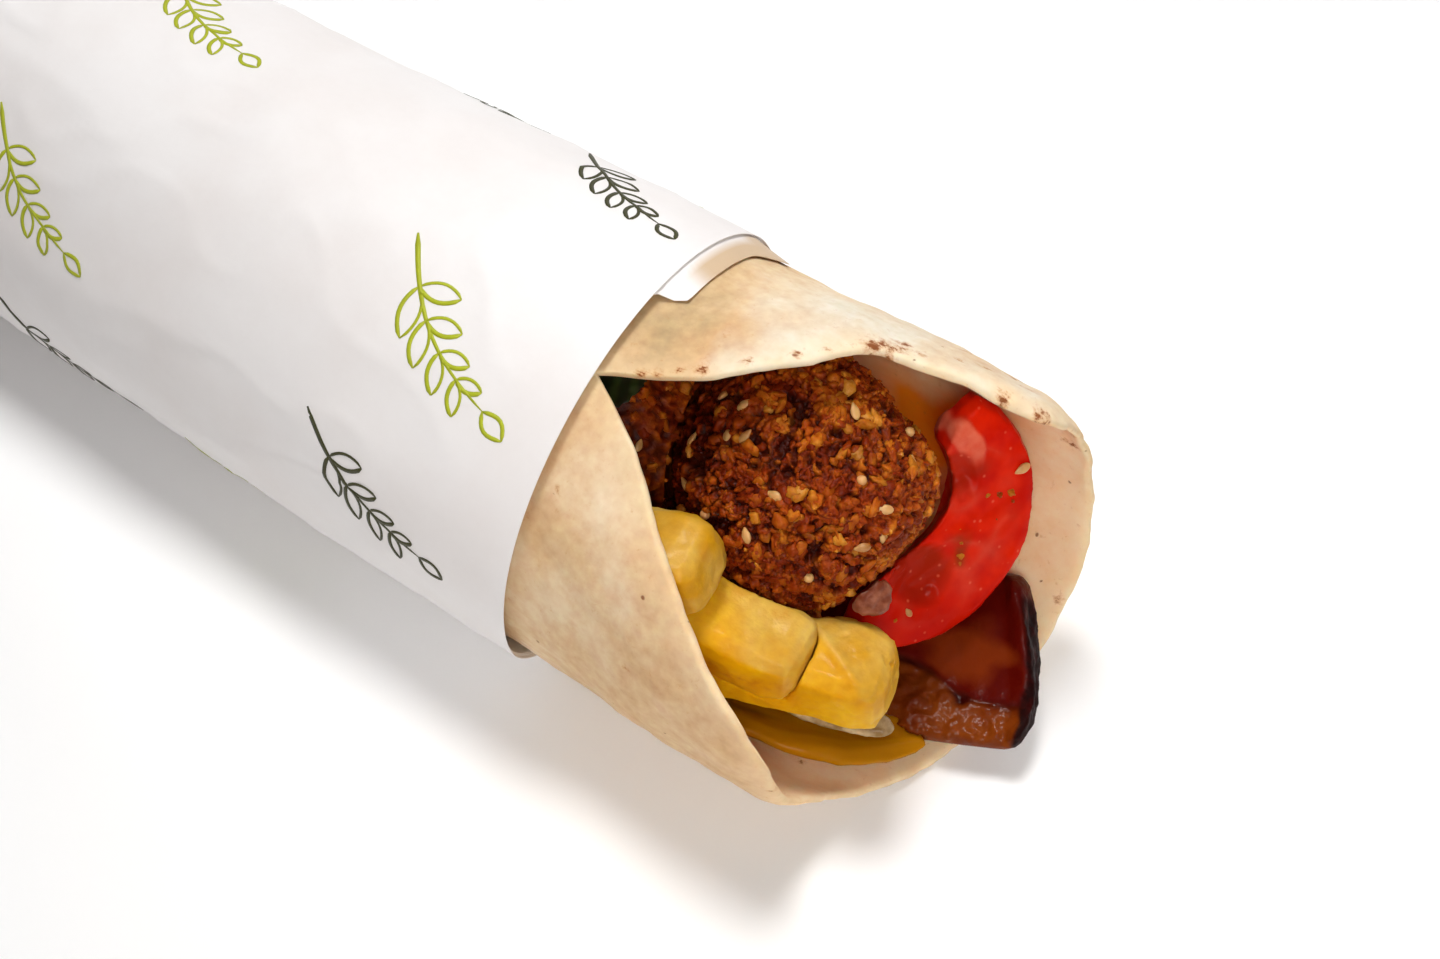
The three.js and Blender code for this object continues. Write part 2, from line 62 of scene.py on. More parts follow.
# The roll's own form, as its solids have it
MOUTH = 38.0            # the sleeve's mouth along X
SLEEVE_LENGTH = 145.0
SLEEVE_RADIUS = 35.5
TAPER = 0.0287          # what the sleeve's radius gains over each millimetre ahead
SINK = 1.6              # how deep the roll's round form goes below the flat that it rests on
FOLD_DEPTH = 9.0
PLEATS = 11
PLEAT_HEIGHT = 1.6
FOLD_MIDDLE = 4.0       # how far the middle of the folded end lies inside the sleeve's length
PAPER_WALL = 0.7
PAPER_GAP = 0.3
BREAD_INSET = 1.9
BREAD_WALL = 2.3
BREAD_BACK = 6.5        # how far inside the sleeve's length the bread's closed end lies
LAID_DEPTH = 0.9        # the room between the bread's inside and a slice that lies on it
HOLLOW_DEPTH = 34.0
BARE_BACK = 14.0        # how far into the sleeve the bread's bare end starts
BED_LENGTH = 20.0
BED_HEIGHT = 21.0
NOTCH_ANGLE = 112.0
FALAFEL_RADIUS = 19.4
BREAD_CLEARANCE = 3.4   # how far inside the bread's outer face a crumb's middle stays
BALL_CLEARANCE = 0.8    # how far a crumb's middle stays from the other falafel
CRUMB_KINDS = 6
# Degrees turned from the notch, the rim's reach ahead of the sleeve's mouth, and its lean outwards
RIM = [
    (0, 1.8, 0), (7, 10.6, 0), (16.2, 18.6, -0.2), (25.2, 23.4, -0.3), (31.2, 26, -0.3), (37.1, 28, -0.2),
    (42.5, 30, -0.2), (45.6, 32.4, -0.3), (49.6, 37.4, -0.6), (52.8, 42.2, -1.2), (56.2, 46.8, -2.2),
    (60, 50.8, -2.8), (66, 53, -3), (74, 53.8, -2.8), (90, 53.6, -2), (112, 54.8, -0.4), (139, 57, 0.6),
    (165, 57.2, 0.4), (197, 54.5, 0), (221, 50.2, -0.8), (242, 46.8, -1.4), (272, 45.5, -1.6),
    (292, 44.2, -0.8), (303, 40.5, 0), (314, 33.4, 0), (328, 25.2, 0), (339, 18.5, 0), (350, 11.5, 0),
    (360, 1.8, 0),
]
LEAN_POWER = 20         # the rim leans over its last few millimetres only
NOISE_RADIUS = 34       # of the circle that noise follows round the roll
SLEEVE_COLUMNS = 200
BREAD_COLUMNS = 330
FILLING_FACE = 0.36     # the size of a filling's faces
GOLDEN_ANGLE = 2.39996


# Numbers and noise

def linear(code):
    """An sRGB hex colour as linear RGBA."""
    channels = [int(code[i:i + 2], 16) / 255 for i in (1, 3, 5)]
    return tuple(c / 12.92 if c <= 0.04045 else ((c + 0.055) / 1.055) ** 2.4 for c in channels) + (1.0,)


def per(size_mm):
    """The scale of a pattern whose features measure size_mm, on coordinates in metres."""
    return 1 / (size_mm * MM)


def lerp(a, b, share):
    return a + (b - a) * share


def ramp(value, low, high):
    """0 below low and 1 above high, with a smooth rise between."""
    t = min(max((value - low) / (high - low), 0), 1)
    return t * t * (3 - 2 * t)


def curve_at(points, value, column=1):
    """A smooth curve through a table's points, read from the given column by the first one."""
    last = len(points) - 2
    i = 0
    while i < last and value > points[i + 1][0]:
        i += 1

    def slope(a, b):
        return (b[column] - a[column]) / (b[0] - a[0])

    here = slope(points[i], points[i + 1])
    before = (here + slope(points[i - 1], points[i])) / 2 if i > 0 else here
    after = (here + slope(points[i + 1], points[i + 2])) / 2 if i < last else here
    span = points[i + 1][0] - points[i][0]
    t = min(max((value - points[i][0]) / span, 0), 1)
    return (lerp(points[i][column], points[i + 1][column], t * t * (3 - 2 * t))
            + span * t * (1 - t) * (before * (1 - t) - after * t))


def wander(p, size, seed=0):
    """Smooth noise from about -1 to 1, with features of the given size."""
    return 1.6 * noise.noise(Vector((p[0] / size + 31.7 * seed, p[1] / size - 12.3 * seed, p[2] / size)))


def grain(p, size, seed=0):
    """For a point among grains of the given size: how far it is from its grain's middle, from 0 to
    about 1, a number from 0 to 1 that is the grain's own, and how far the next grain is."""
    q = Vector((p[0] / size + 17.1 * seed, p[1] / size, p[2] / size - 5.3 * seed))
    distances, middles = noise.voronoi(q)
    own = abs(sin(middles[0].dot(Vector((127.1, 311.7, 74.7)))) * 43758.5453) % 1
    return distances[0], own, distances[1] - distances[0]


# Meshes

def new_piece(name, mesh):
    piece = bpy.data.objects.new(name, mesh)
    bpy.context.scene.collection.objects.link(piece)
    return piece


def from_bmesh(name, bm):
    mesh = bpy.data.meshes.new(name)
    bm.to_mesh(mesh)
    bm.free()
    return new_piece(name, mesh)


def skin(name, rings, around):
    """A closed skin from pole to pole. Each ring gives its points in millimetres by its turn, from 0
    to 1: a flat grid is warped to them, and its seam and poles are then closed."""
    bm = bmesh.new()
    bmesh.ops.create_grid(bm, x_segments=around, y_segments=len(rings) - 1, size=0.5)
    for vert in bm.verts:
        column = round((vert.co.x + 0.5) * around) % around
        row = round((vert.co.y + 0.5) * (len(rings) - 1))
        vert.co = rings[row](turn=column / around) * MM
    bmesh.ops.remove_doubles(bm, verts=bm.verts, dist=2e-7)
    bmesh.ops.recalc_face_normals(bm, faces=bm.faces)
    return from_bmesh(name, bm)


def evaluated(piece):
    """Applies a piece's modifiers to its mesh."""
    depsgraph = bpy.context.evaluated_depsgraph_get()
    mesh = bpy.data.meshes.new_from_object(piece.evaluated_get(depsgraph))
    piece.modifiers.clear()
    piece.data = mesh
    return piece


def filling_from(node, name, voxel=FILLING_FACE, rounds=2):
    """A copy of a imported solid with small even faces, its hard edges a little softened."""
    bm = bmesh.new()
    bm.from_mesh(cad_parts[node].data)
    bmesh.ops.remove_doubles(bm, verts=bm.verts, dist=1e-6)
    piece = from_bmesh(name, bm)
    even = piece.modifiers.new("Even faces", "REMESH")
    even.mode = "VOXEL"
    even.voxel_size = voxel * MM
    soft = piece.modifiers.new("Softened", "SMOOTH")
    soft.factor = 0.5
    soft.iterations = rounds
    return evaluated(piece)


def points_of(mesh, field="co"):
    source = mesh.vertices if field == "co" else mesh.vertex_normals
    values = np.empty(len(mesh.vertices) * 3, np.float32)
    source.foreach_get("co" if field == "co" else "vector", values)
    return values.reshape(-1, 3)


def carve(piece, depth):
    """Moves each point along its normal by depth(point, normal), all in millimetres."""
    points = points_of(piece.data).astype(float)
    normals = points_of(piece.data, "normal")
    for k, (p, n) in enumerate(zip(points / MM, normals)):
        points[k] += n * depth(p, n) * MM
    piece.data.vertices.foreach_set("co", points.astype(np.float32).ravel())
    piece.data.update()


def write(mesh, name, values):
    """Stores a number or a vector for each point, which a material reads by its name."""
    values = np.array(values, np.float32)
    single = values.ndim == 1
    attribute = mesh.attributes.new(name, "FLOAT" if single else "FLOAT_VECTOR", "POINT")
    attribute.data.foreach_set("value" if single else "vector", values.ravel())


def note(piece, **values):
    """Stores what each value(point in mm, normal) gives, under its name."""
    points, normals = points_of(piece.data) / MM, points_of(piece.data, "normal")
    for name, value in values.items():
        write(piece.data, name, [value(p, n) for p, n in zip(points, normals)])


def finish_piece(piece, material, nodes=(), sharp=None):
    """Gives a piece its material and its place in the frame."""
    piece.data.materials.clear()
    piece.data.materials.append(material)
    piece.data.shade_smooth()
    if sharp:
        piece.data.set_sharp_from_angle(angle=radians(sharp))
    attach(piece, "root")
    if nodes:
        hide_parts(*nodes)


def axes_of(place, along, up):
    """A piece's own axes: X along it and Z as near to up as may be."""
    x = Vector(along).normalized()
    z = Vector(up)
    z = (z - x * x.dot(z)).normalized()
    y = z.cross(x)
    turn = Matrix((x, y, z)).transposed().to_4x4()
    return Matrix.Translation(Vector((place[0] + MOUTH, place[1], place[2]))) @ turn


def scatter(name, shapes, places, attributes):
    """Joins copies of small shapes into one mesh. Each place is a shape's number and a matrix in
    millimetres, and attributes gives each copy's own value of every attribute."""
    corners, faces, counts, start = [], [], [], 0
    for shape, matrix in places:
        points, triangles = shapes[shape]
        m = np.array(matrix)
        corners.append(points @ m[:3, :3].T + m[:3, 3])
        faces.append(triangles + start)
        counts.append(len(points))
        start += len(points)
    corners = np.concatenate(corners) * MM
    faces = np.concatenate(faces)
    mesh = bpy.data.meshes.new(name)
    mesh.from_pydata(corners, [], faces.tolist())
    for key, values in attributes.items():
        write(mesh, key, np.repeat(np.array(values, np.float32), counts))
    return new_piece(name, mesh)


def small_shape(subdivisions, form):
    """A small ball's points, each moved by form, and its triangles."""
    bm = bmesh.new()
    bmesh.ops.create_icosphere(bm, subdivisions=subdivisions, radius=1)
    points = np.array([form(v.co.copy()) for v in bm.verts])
    triangles = np.array([[v.index for v in f.verts] for f in bm.faces])
    bm.free()
    return points, triangles


# The roll

def radius_at(ahead):
    return SLEEVE_RADIUS + TAPER * ahead


def axis_z(ahead):
    return radius_at(ahead) - SINK


def roll_point(ahead, radius, angle, lowest):
    return Vector((MOUTH + ahead, radius * cos(angle), max(axis_z(ahead) + radius * sin(angle), lowest)))


def pole(ahead, turn):
    """A point on the roll's axis, where a skin closes."""
    return roll_point(ahead, 0, 0, 0)


def round_the_roll(ahead, angle):
    """A point for noise that runs round the roll without a seam."""
    return Vector((ahead, NOISE_RADIUS * cos(angle), NOISE_RADIUS * sin(angle)))


# Materials

def add(tree, kind, links=None, **settings):
    """Adds a node. links sets its inputs, by name or number, to a value or to another node."""
    node = tree.nodes.new("ShaderNode" + kind)
    for key, value in settings.items():
        setattr(node, key, value)
    for key, value in (links or {}).items():
        if isinstance(key, int):
            socket = node.inputs[key]
        else:
            socket = next(s for s in node.inputs if s.enabled and s.name == key)
        if isinstance(value, bpy.types.Node):
            value = next(s for s in value.outputs if s.enabled)
        if isinstance(value, bpy.types.NodeSocket):
            tree.links.new(value, socket)
        else:
            socket.default_value = value
    return node


def stops(node, colours):
    """Sets a colour ramp's stops from pairs of a place and a colour."""
    band = node.color_ramp
    while len(band.elements) < len(colours):
        band.elements.new(1)
    for element, (place, colour) in zip(band.elements, colours):
        element.position = place
        element.color = linear(colour) if isinstance(colour, str) else tuple(colour)
    return node


def new_material(name, reads=(), noises=()):
    """A material, its tree, its object coordinates, the attributes that it reads, and its noises.
    Each noise has a size in millimetres, a detail and a roughness."""
    material = bpy.data.materials.new(name)
    material.use_nodes = True
    tree = material.node_tree
    tree.nodes.clear()
    place = add(tree, "TexCoord").outputs["Object"]
    nodes = [add(tree, "Attribute", attribute_name=key).outputs["Fac"] for key in reads]
    for size, detail, rough in noises:
        nodes.append(add(tree, "TexNoise", {"Vector": place, "Scale": per(size), "Detail": detail,
                                            "Roughness": rough}))
    return material, tree, place, *nodes


def surface(material, colour, layers, roughness, ior=1.45, specular=0.5, depth=None, coat=None, reliefs=(),
            coat_relief=False):
    """Ends a material with its shader. layers are laid over its colour in turn, each a share, a
    colour and how the two blend. depth is the share of light that goes in, how far each colour
    goes, and millimetres. coat is a weight and a roughness. Each relief is a height, a strength and
    millimetres, and the coat follows it or stays smooth."""
    tree = material.node_tree
    for share, over, *blend in layers:
        colour = add(tree, "Mix", {"Factor": share, "A": colour, "B": over}, data_type="RGBA",
                     blend_type=blend[0] if blend else "MIX")
    values = {"Base Color": colour, "Roughness": roughness, "IOR": ior, "Specular IOR Level": specular}
    if depth:
        values |= {"Subsurface Weight": depth[0], "Subsurface Radius": depth[1], "Subsurface Scale": depth[2] * MM}
    if coat:
        values |= {"Coat Weight": coat[0], "Coat Roughness": coat[1]}
    for height, strength, size in reliefs:
        below = {"Normal": values["Normal"]} if "Normal" in values else {}
        values["Normal"] = add(tree, "Bump", {"Height": height, "Strength": strength, "Distance": size * MM, **below})
    if coat_relief:
        values["Coat Normal"] = values["Normal"]
    add(tree, "OutputMaterial", {"Surface": add(tree, "BsdfPrincipled", values)})
    return material


def paper_material(colours):
    """Thin bleached food paper, calendered smooth: almost white, faintly mottled by its fibres and
    by grease, and let through where only its inner layer covers the bread."""
    material, tree, _, thin, fibre, cloud, crinkle = new_material(
        "greaseproof_paper", ["thin"], [(1.4, 4, 0.5), (26, 3, 0.5), (3.5, 5, 0.55)])
    tone = stops(add(tree, "ValToRGB", {"Fac": cloud}), [(0.35, colours.paper_shade), (0.62, colours.paper)])
    return surface(material, tone, [(0.06, fibre, "OVERLAY"), (thin, colours.paper_thin)], 0.5, ior=1.5,
                   reliefs=[(crinkle, 0.35, 0.12)])


def ink_material(name, colour):
    """Printing ink soaked into the paper: a flat colour that breaks up a little with the fibres."""
    material, _, _, fibre = new_material(name, noises=[(1.1, 3, 0.5)])
    return surface(material, colour, [(fibre, [0.72 * c for c in colour[:3]] + [1])], 0.55)


def bread_material(colours):
    """Thin wheat flatbread, dry baked: matt cream with tan clouds, a soft bloom of flour, brown
    toast marks that gather along the rim, and oily orange patches inside, partly oil and partly painted
    light behind the flap. Its paler rim is painted light, and its darker deep inside and its darker bread
    by the notch and low on the near side are painted shade."""
    material, tree, place, edge, inside, stain, floury, toast, cloud, pore, blotch, warp, where = new_material(
        "wheat_flatbread", ["edge", "inside", "stain", "floury", "toast"],
        [(15, 4, 0.5), (1.6, 4, 0.5), (2.8, 4, 0.6), (3, 2, 0.5), (6, 3, 0.5)])
    # baked carries the painted shade by the notch.
    baked, rim, deep, patch, near, gloss = [
        add(tree, "MapRange", {"Value": value, "From Min": low, "From Max": high, "To Min": first, "To Max": last})
        for value, low, high, first, last in (
            (floury, 0, -1, 0, 1), (edge, 0, 5, 0.35, 0), (edge, 3, 14, 0, 1), (where, 0.48, 0.72, 0, 0.07),
            (edge, 0, 8, 2, 0.25), (stain, 0, 1, 0.75, 0.45))]
    tone = stops(add(tree, "ValToRGB", {"Fac": cloud}),
                 [(0.32, colours.bread_tan), (0.5, colours.bread), (0.68, colours.bread_pale)])
    inner_share = add(tree, "Math", {0: inside, 1: 0.8}, operation="MULTIPLY")
    # Painted shade: the inside darkens further from the rim.
    crumb = add(tree, "Mix", {"Factor": deep, "A": colours.bread_inside, "B": colours.bread_deep}, data_type="RGBA")
    spongy = add(tree, "Mix", {"Factor": 0.4, "A": crumb, "B": blotch}, data_type="RGBA", blend_type="OVERLAY")
    # Fine specks, each a small dark cell: mostly near the rim, and dense in the toast marks.
    bent = add(tree, "VectorMath", {0: warp.outputs["Color"], 1: (1.4 * MM,) * 3, 2: place},
               operation="MULTIPLY_ADD")
    cell = add(tree, "TexVoronoi", {"Vector": bent, "Scale": per(1.15)})
    own = add(tree, "SeparateColor", {"Color": cell.outputs["Color"]})
    size = add(tree, "MapRange", {"Value": own.outputs[2], "To Min": 0.16, "To Max": 0.44})
    over = add(tree, "Math", {0: size, 1: cell.outputs["Distance"]}, operation="SUBTRACT")
    core = add(tree, "MapRange", {"Value": over, "From Min": 0.0, "From Max": 0.2, "To Max": 0.8})
    dense = add(tree, "Math", {0: patch, 1: near}, operation="MULTIPLY")
    marks = add(tree, "Math", {0: toast, 1: 0.2, 2: dense}, operation="MULTIPLY_ADD")
    chosen = add(tree, "Math", {0: marks, 1: own.outputs[0]}, operation="GREATER_THAN")
    speck = add(tree, "Math", {0: core, 1: chosen}, operation="MULTIPLY")
    burn = add(tree, "TexNoise", {"Vector": bent, "Scale": per(1.1), "Detail": 5.0, "Roughness": 0.7})
    heat = add(tree, "Math", {0: toast, 1: 0.4, 2: burn}, operation="MULTIPLY_ADD")
    burnt = add(tree, "MapRange", {"Value": heat, "From Min": 0.77, "From Max": 0.9, "To Max": 0.9})
    smudge = add(tree, "MapRange", {"Value": heat, "From Min": 0.6, "From Max": 0.85, "To Max": 0.65})
    either = add(tree, "Math", {0: speck, 1: burnt}, operation="MAXIMUM")
    # The rim layer is painted light: the bread is paler near its rim.
    layers = [(baked, colours.bread_baked), (floury, colours.flour), (0.24, blotch, "OVERLAY"),
              (0.28, pore, "OVERLAY"), (rim, colours.bread_rim), (inner_share, spongy), (stain, colours.oil_stain),
              (smudge, colours.rust), (either, colours.toast)]
    return surface(material, tone, layers, gloss, specular=0.15, depth=(0.4, (1.0, 0.6, 0.35), 3),
                   reliefs=[(pore, 0.4, 0.15), (cloud, 0.4, 0.6)])


# The fried crust, from the deepest crumbs to the palest
CRUST = [
    (0.0, "#300501"), (0.2, "#641802"), (0.36, "#832a04"), (0.5, "#973c08"), (0.62, "#a84e0c"),
    (0.74, "#b86414"), (0.88, "#c98226"), (1.0, "#d89c50"),
]


def falafel_material(name, step):
    """Deep-fried chickpea mince: a dark, oily crust of crumbs, each with its own brown, rust or
    mustard, and made almost black with painted shade in the cracks between them."""
    material, tree, _, tint, depth, mottle, wet, rough = new_material(
        name, ["tint", "depth"], [(1.3, 3, 0.6), (2.2, 3, 0.5), (0.7, 4, 0.65)])
    hue = add(tree, "MapRange", {"Value": mottle, "From Min": 0.3, "From Max": 0.7})
    share = add(tree, "Mix", {"Factor": step, "A": tint, "B": hue}, data_type="FLOAT")
    crust = stops(add(tree, "ValToRGB", {"Fac": share}), CRUST)
    # Painted shade: the depth attribute darkens the crust, less in red than in green and blue.
    dark = add(tree, "MapRange", {"Value": depth, "To Min": 1.0, "To Max": 0.16})
    low = add(tree, "Math", {0: dark, 1: 1.25}, operation="POWER")
    grey = add(tree, "CombineColor", {0: dark, 1: low, 2: low})
    gloss = add(tree, "MapRange", {"Value": wet, "From Min": 0.3, "From Max": 0.7, "To Min": 0.28, "To Max": 0.65})
    return surface(material, crust, [(1.0, grey, "MULTIPLY")], gloss, 1.47, 0.06, depth=(0.2, (1.0, 0.4, 0.15), 0.7),
                   coat=(0.1, 0.08), reliefs=[(rough, 0.7, 0.25)], coat_relief=True)


def seed_material(name, pale, dark):
    """Hulled sesame or cracked coriander, toasted in the fryer: waxy cream, browner on some seeds
    and at their tips."""
    material, tree, _, tint, mottle = new_material(name, ["tint"], [(1.2, 3, 0.5)])
    share = add(tree, "Math", {0: tint, 1: mottle}, operation="MULTIPLY")
    shade = stops(add(tree, "ValToRGB", {"Fac": share}), [(0.2, pale), (0.75, dark)])
    return surface(material, shade, [], 0.35, 1.47, depth=(0.25, (1.0, 0.2, 0.1), 0.6), reliefs=[(mottle, 0.3, 0.1)])


def tomato_material(colours):
    """Ripe raw tomato, knife cut and wet: glassy red flesh, paler and pinker on the ribs, darker in
    the pockets, with gel and with painted shade, and along the thin skin."""
    material, tree, place, rib, pocket, rind, green, cloud, cells = new_material(
        "raw_tomato", ["rib", "pocket", "rind", "green"], [(5, 3, 0.5), (1.6, 4, 0.5)])
    flesh = stops(add(tree, "ValToRGB", {"Fac": cloud}), [(0.35, colours.tomato_deep), (0.62, colours.tomato)])
    watery = add(tree, "MapRange", {"Value": cells, "From Min": 0.3, "From Max": 0.7, "To Min": 0.55})
    pale = add(tree, "Math", {0: rib, 1: watery}, operation="MULTIPLY")
    fleck = add(tree, "TexVoronoi", {"Vector": place, "Scale": per(2.1)})
    dot = add(tree, "MapRange", {"Value": fleck.outputs["Distance"], "From Min": 0.04, "From Max": 0.16,
                                 "To Min": 0.5, "To Max": 0.0})
    layers = [(pale, colours.tomato_rib), (pocket, colours.tomato_pocket), (rind, colours.tomato_rind),
              (green, colours.tomato_green), (dot, colours.tomato_rib)]
    return surface(material, flesh, layers, 0.3, 1.35, 0.03, depth=(0.12, (1.0, 0.1, 0.04), 1.8), coat=(0.06, 0.04),
                   reliefs=[(cells, 0.35, 0.2)], coat_relief=True)


def potato_material(colours):
    """Thick-cut fried potato: pale creamy tops, painted light as if lit from above, over soft, deep
    yellow sides, with pale cut ends and a few blistered brown patches."""
    material, tree, _, pale, crisp, cloud, speckle = new_material(
        "fried_potato", ["pale", "crisp"], [(9, 3, 0.5), (1.3, 4, 0.5)])
    golden = stops(add(tree, "ValToRGB", {"Fac": cloud}), [(0.34, colours.potato_deep), (0.64, colours.potato)])
    # Painted light on the tops, and the pale cut ends.
    creamy = stops(add(tree, "ValToRGB", {"Fac": cloud}), [(0.32, colours.potato_light), (0.6, colours.potato_pale)])
    blistered = add(tree, "MapRange", {"Value": speckle, "From Min": 0.35, "From Max": 0.65})
    browned = add(tree, "Math", {0: blistered, 1: crisp}, operation="MULTIPLY")
    layers = [(pale, creamy), (0.25, speckle, "OVERLAY"), (browned, colours.potato_crisp)]
    return surface(material, golden, layers, 0.45, specular=0.07, depth=(0.4, (1.0, 0.7, 0.15), 2.2),
                   coat=(0.08, 0.12), reliefs=[(speckle, 0.6, 0.25)], coat_relief=True)


def pickle_material(colours):
    """Brined cucumber: translucent olive brown, faintly streaked lengthwise, wet all over, and painted
    lighter under its ridge and along it than over it, as the two faces take the light."""
    material, tree, _, ridge = new_material("brined_cucumber", ["ridge"])
    own = add(tree, "Attribute", attribute_name="own")
    long = add(tree, "Mapping", {"Vector": own.outputs["Vector"], "Scale": (0.05, 0.4, 0.4)})
    streak = add(tree, "TexNoise", {"Vector": long, "Scale": 1.0, "Detail": 4.0})
    upper = stops(add(tree, "ValToRGB", {"Fac": streak}), [(0.3, colours.pickle_deep), (0.7, colours.pickle)])
    return surface(material, upper, [(ridge, colours.pickle_light)], 0.35, 1.36, 0.06,
                   depth=(0.15, (1.0, 0.5, 0.05), 1.6), coat=(0.12, 0.1), reliefs=[(streak, 0.25, 0.3)])


def aubergine_material(colours):
    """Fried aubergine: dark caramel flesh soaked with oil, a lighter see-through field where it is
    thin, glossy blisters, a crease darkened with painted shade, and a black, wrinkled, charred skin along its outer
    edge."""
    material, tree, _, char, low, field, crease, cloud, blister = new_material(
        "fried_aubergine", ["char", "low", "field", "crease"], [(5, 5, 0.6), (1.5, 4, 0.6)])
    gloss = add(tree, "MapRange", {"Value": char, "To Min": 0.15, "To Max": 0.0})
    dull = add(tree, "MapRange", {"Value": char, "To Min": 0.32, "To Max": 0.55})
    ragged = add(tree, "Math", {0: cloud, 1: 0.9, 2: field}, operation="MULTIPLY_ADD")
    lit = add(tree, "MapRange", {"Value": ragged, "From Min": 0.5, "From Max": 1.3})
    fried = stops(add(tree, "ValToRGB", {"Fac": cloud}),
                  [(0.35, colours.aubergine_low), (0.68, colours.aubergine_light)])
    burnt = stops(add(tree, "ValToRGB", {"Fac": blister}),
                  [(0.45, colours.aubergine_skin), (0.7, colours.aubergine_crease)])
    layers = [(lit, colours.aubergine), (low, fried), (crease, colours.aubergine_crease), (char, burnt)]
    return surface(material, colours.aubergine_dark, layers, dull, specular=0.05, depth=(0.06, (1.0, 0.3, 0.08), 1.2),
                   coat=(gloss, 0.07), reliefs=[(blister, 0.5, 0.4)], coat_relief=True)


def onion_material(name, pale, dark):
    """Raw onion softened by steam: watery and see-through, paler along its veins."""
    material, tree, _, vein = new_material(name, noises=[(1.9, 4, 0.5)])
    flesh = stops(add(tree, "ValToRGB", {"Fac": vein}), [(0.38, dark), (0.66, pale)])
    return surface(material, flesh, [], 0.3, 1.36, 0.1, depth=(0.3, (1.0, 0.6, 0.35), 1.5), coat=(0.2, 0.1),
                   reliefs=[(vein, 0.3, 0.25)])


def herb_material(colours):
    """A wilted parsley leaf: dark green, waxy, with paler veins."""
    material, tree, _ = new_material("parsley_leaf")
    own = add(tree, "Attribute", attribute_name="own")
    veins = add(tree, "TexWave", {"Vector": own.outputs["Vector"], "Scale": 0.12, "Distortion": 3.0})
    leaf = stops(add(tree, "ValToRGB", {"Fac": veins}), [(0.4, colours.herb), (0.95, colours.herb_vein)])
    return surface(material, leaf, [], 0.4, 1.42, depth=(0.15, (1.0, 0.2, 0.1), 0.8), reliefs=[(veins, 0.4, 0.3)])


# Settings

def length(name, value_mm, description):
    return bpy.props.FloatProperty(name=name, description=description, default=value_mm * MM, min=0,
                                   unit="LENGTH", precision=5)


def colour(name, code, description):
    return bpy.props.FloatVectorProperty(name=name, description=description, default=linear(code), size=4,
                                         min=0, max=1, subtype="COLOR")


class WrapSizes(bpy.types.PropertyGroup):
    """Sizes that a user would change"""
    bread_wall: length("Bread wall", BREAD_WALL, "Thickness of the flatbread")
    falafel_radius: length("Falafel radius", FALAFEL_RADIUS, "Radius of a falafel without its crumbs")
    crumb: length("Crumb", 0.95, "Half the length of the largest crumbs")
    sesame: length("Sesame seed", 2.5, "Length of a sesame seed")
    print_length: length("Sprig", 27, "Length of a printed sprig")
    print_line: length("Line", 0.8, "Width of a printed line")
    crumbs_front: bpy.props.IntProperty(name="Crumbs", description="Crumbs on the front falafel", default=4200)
    crumbs_back: bpy.props.IntProperty(name="Crumbs behind", description="Crumbs on the back falafel",
                                       default=1100)
    seed: bpy.props.IntProperty(name="Seed", description="Start of the random draws", default=4)


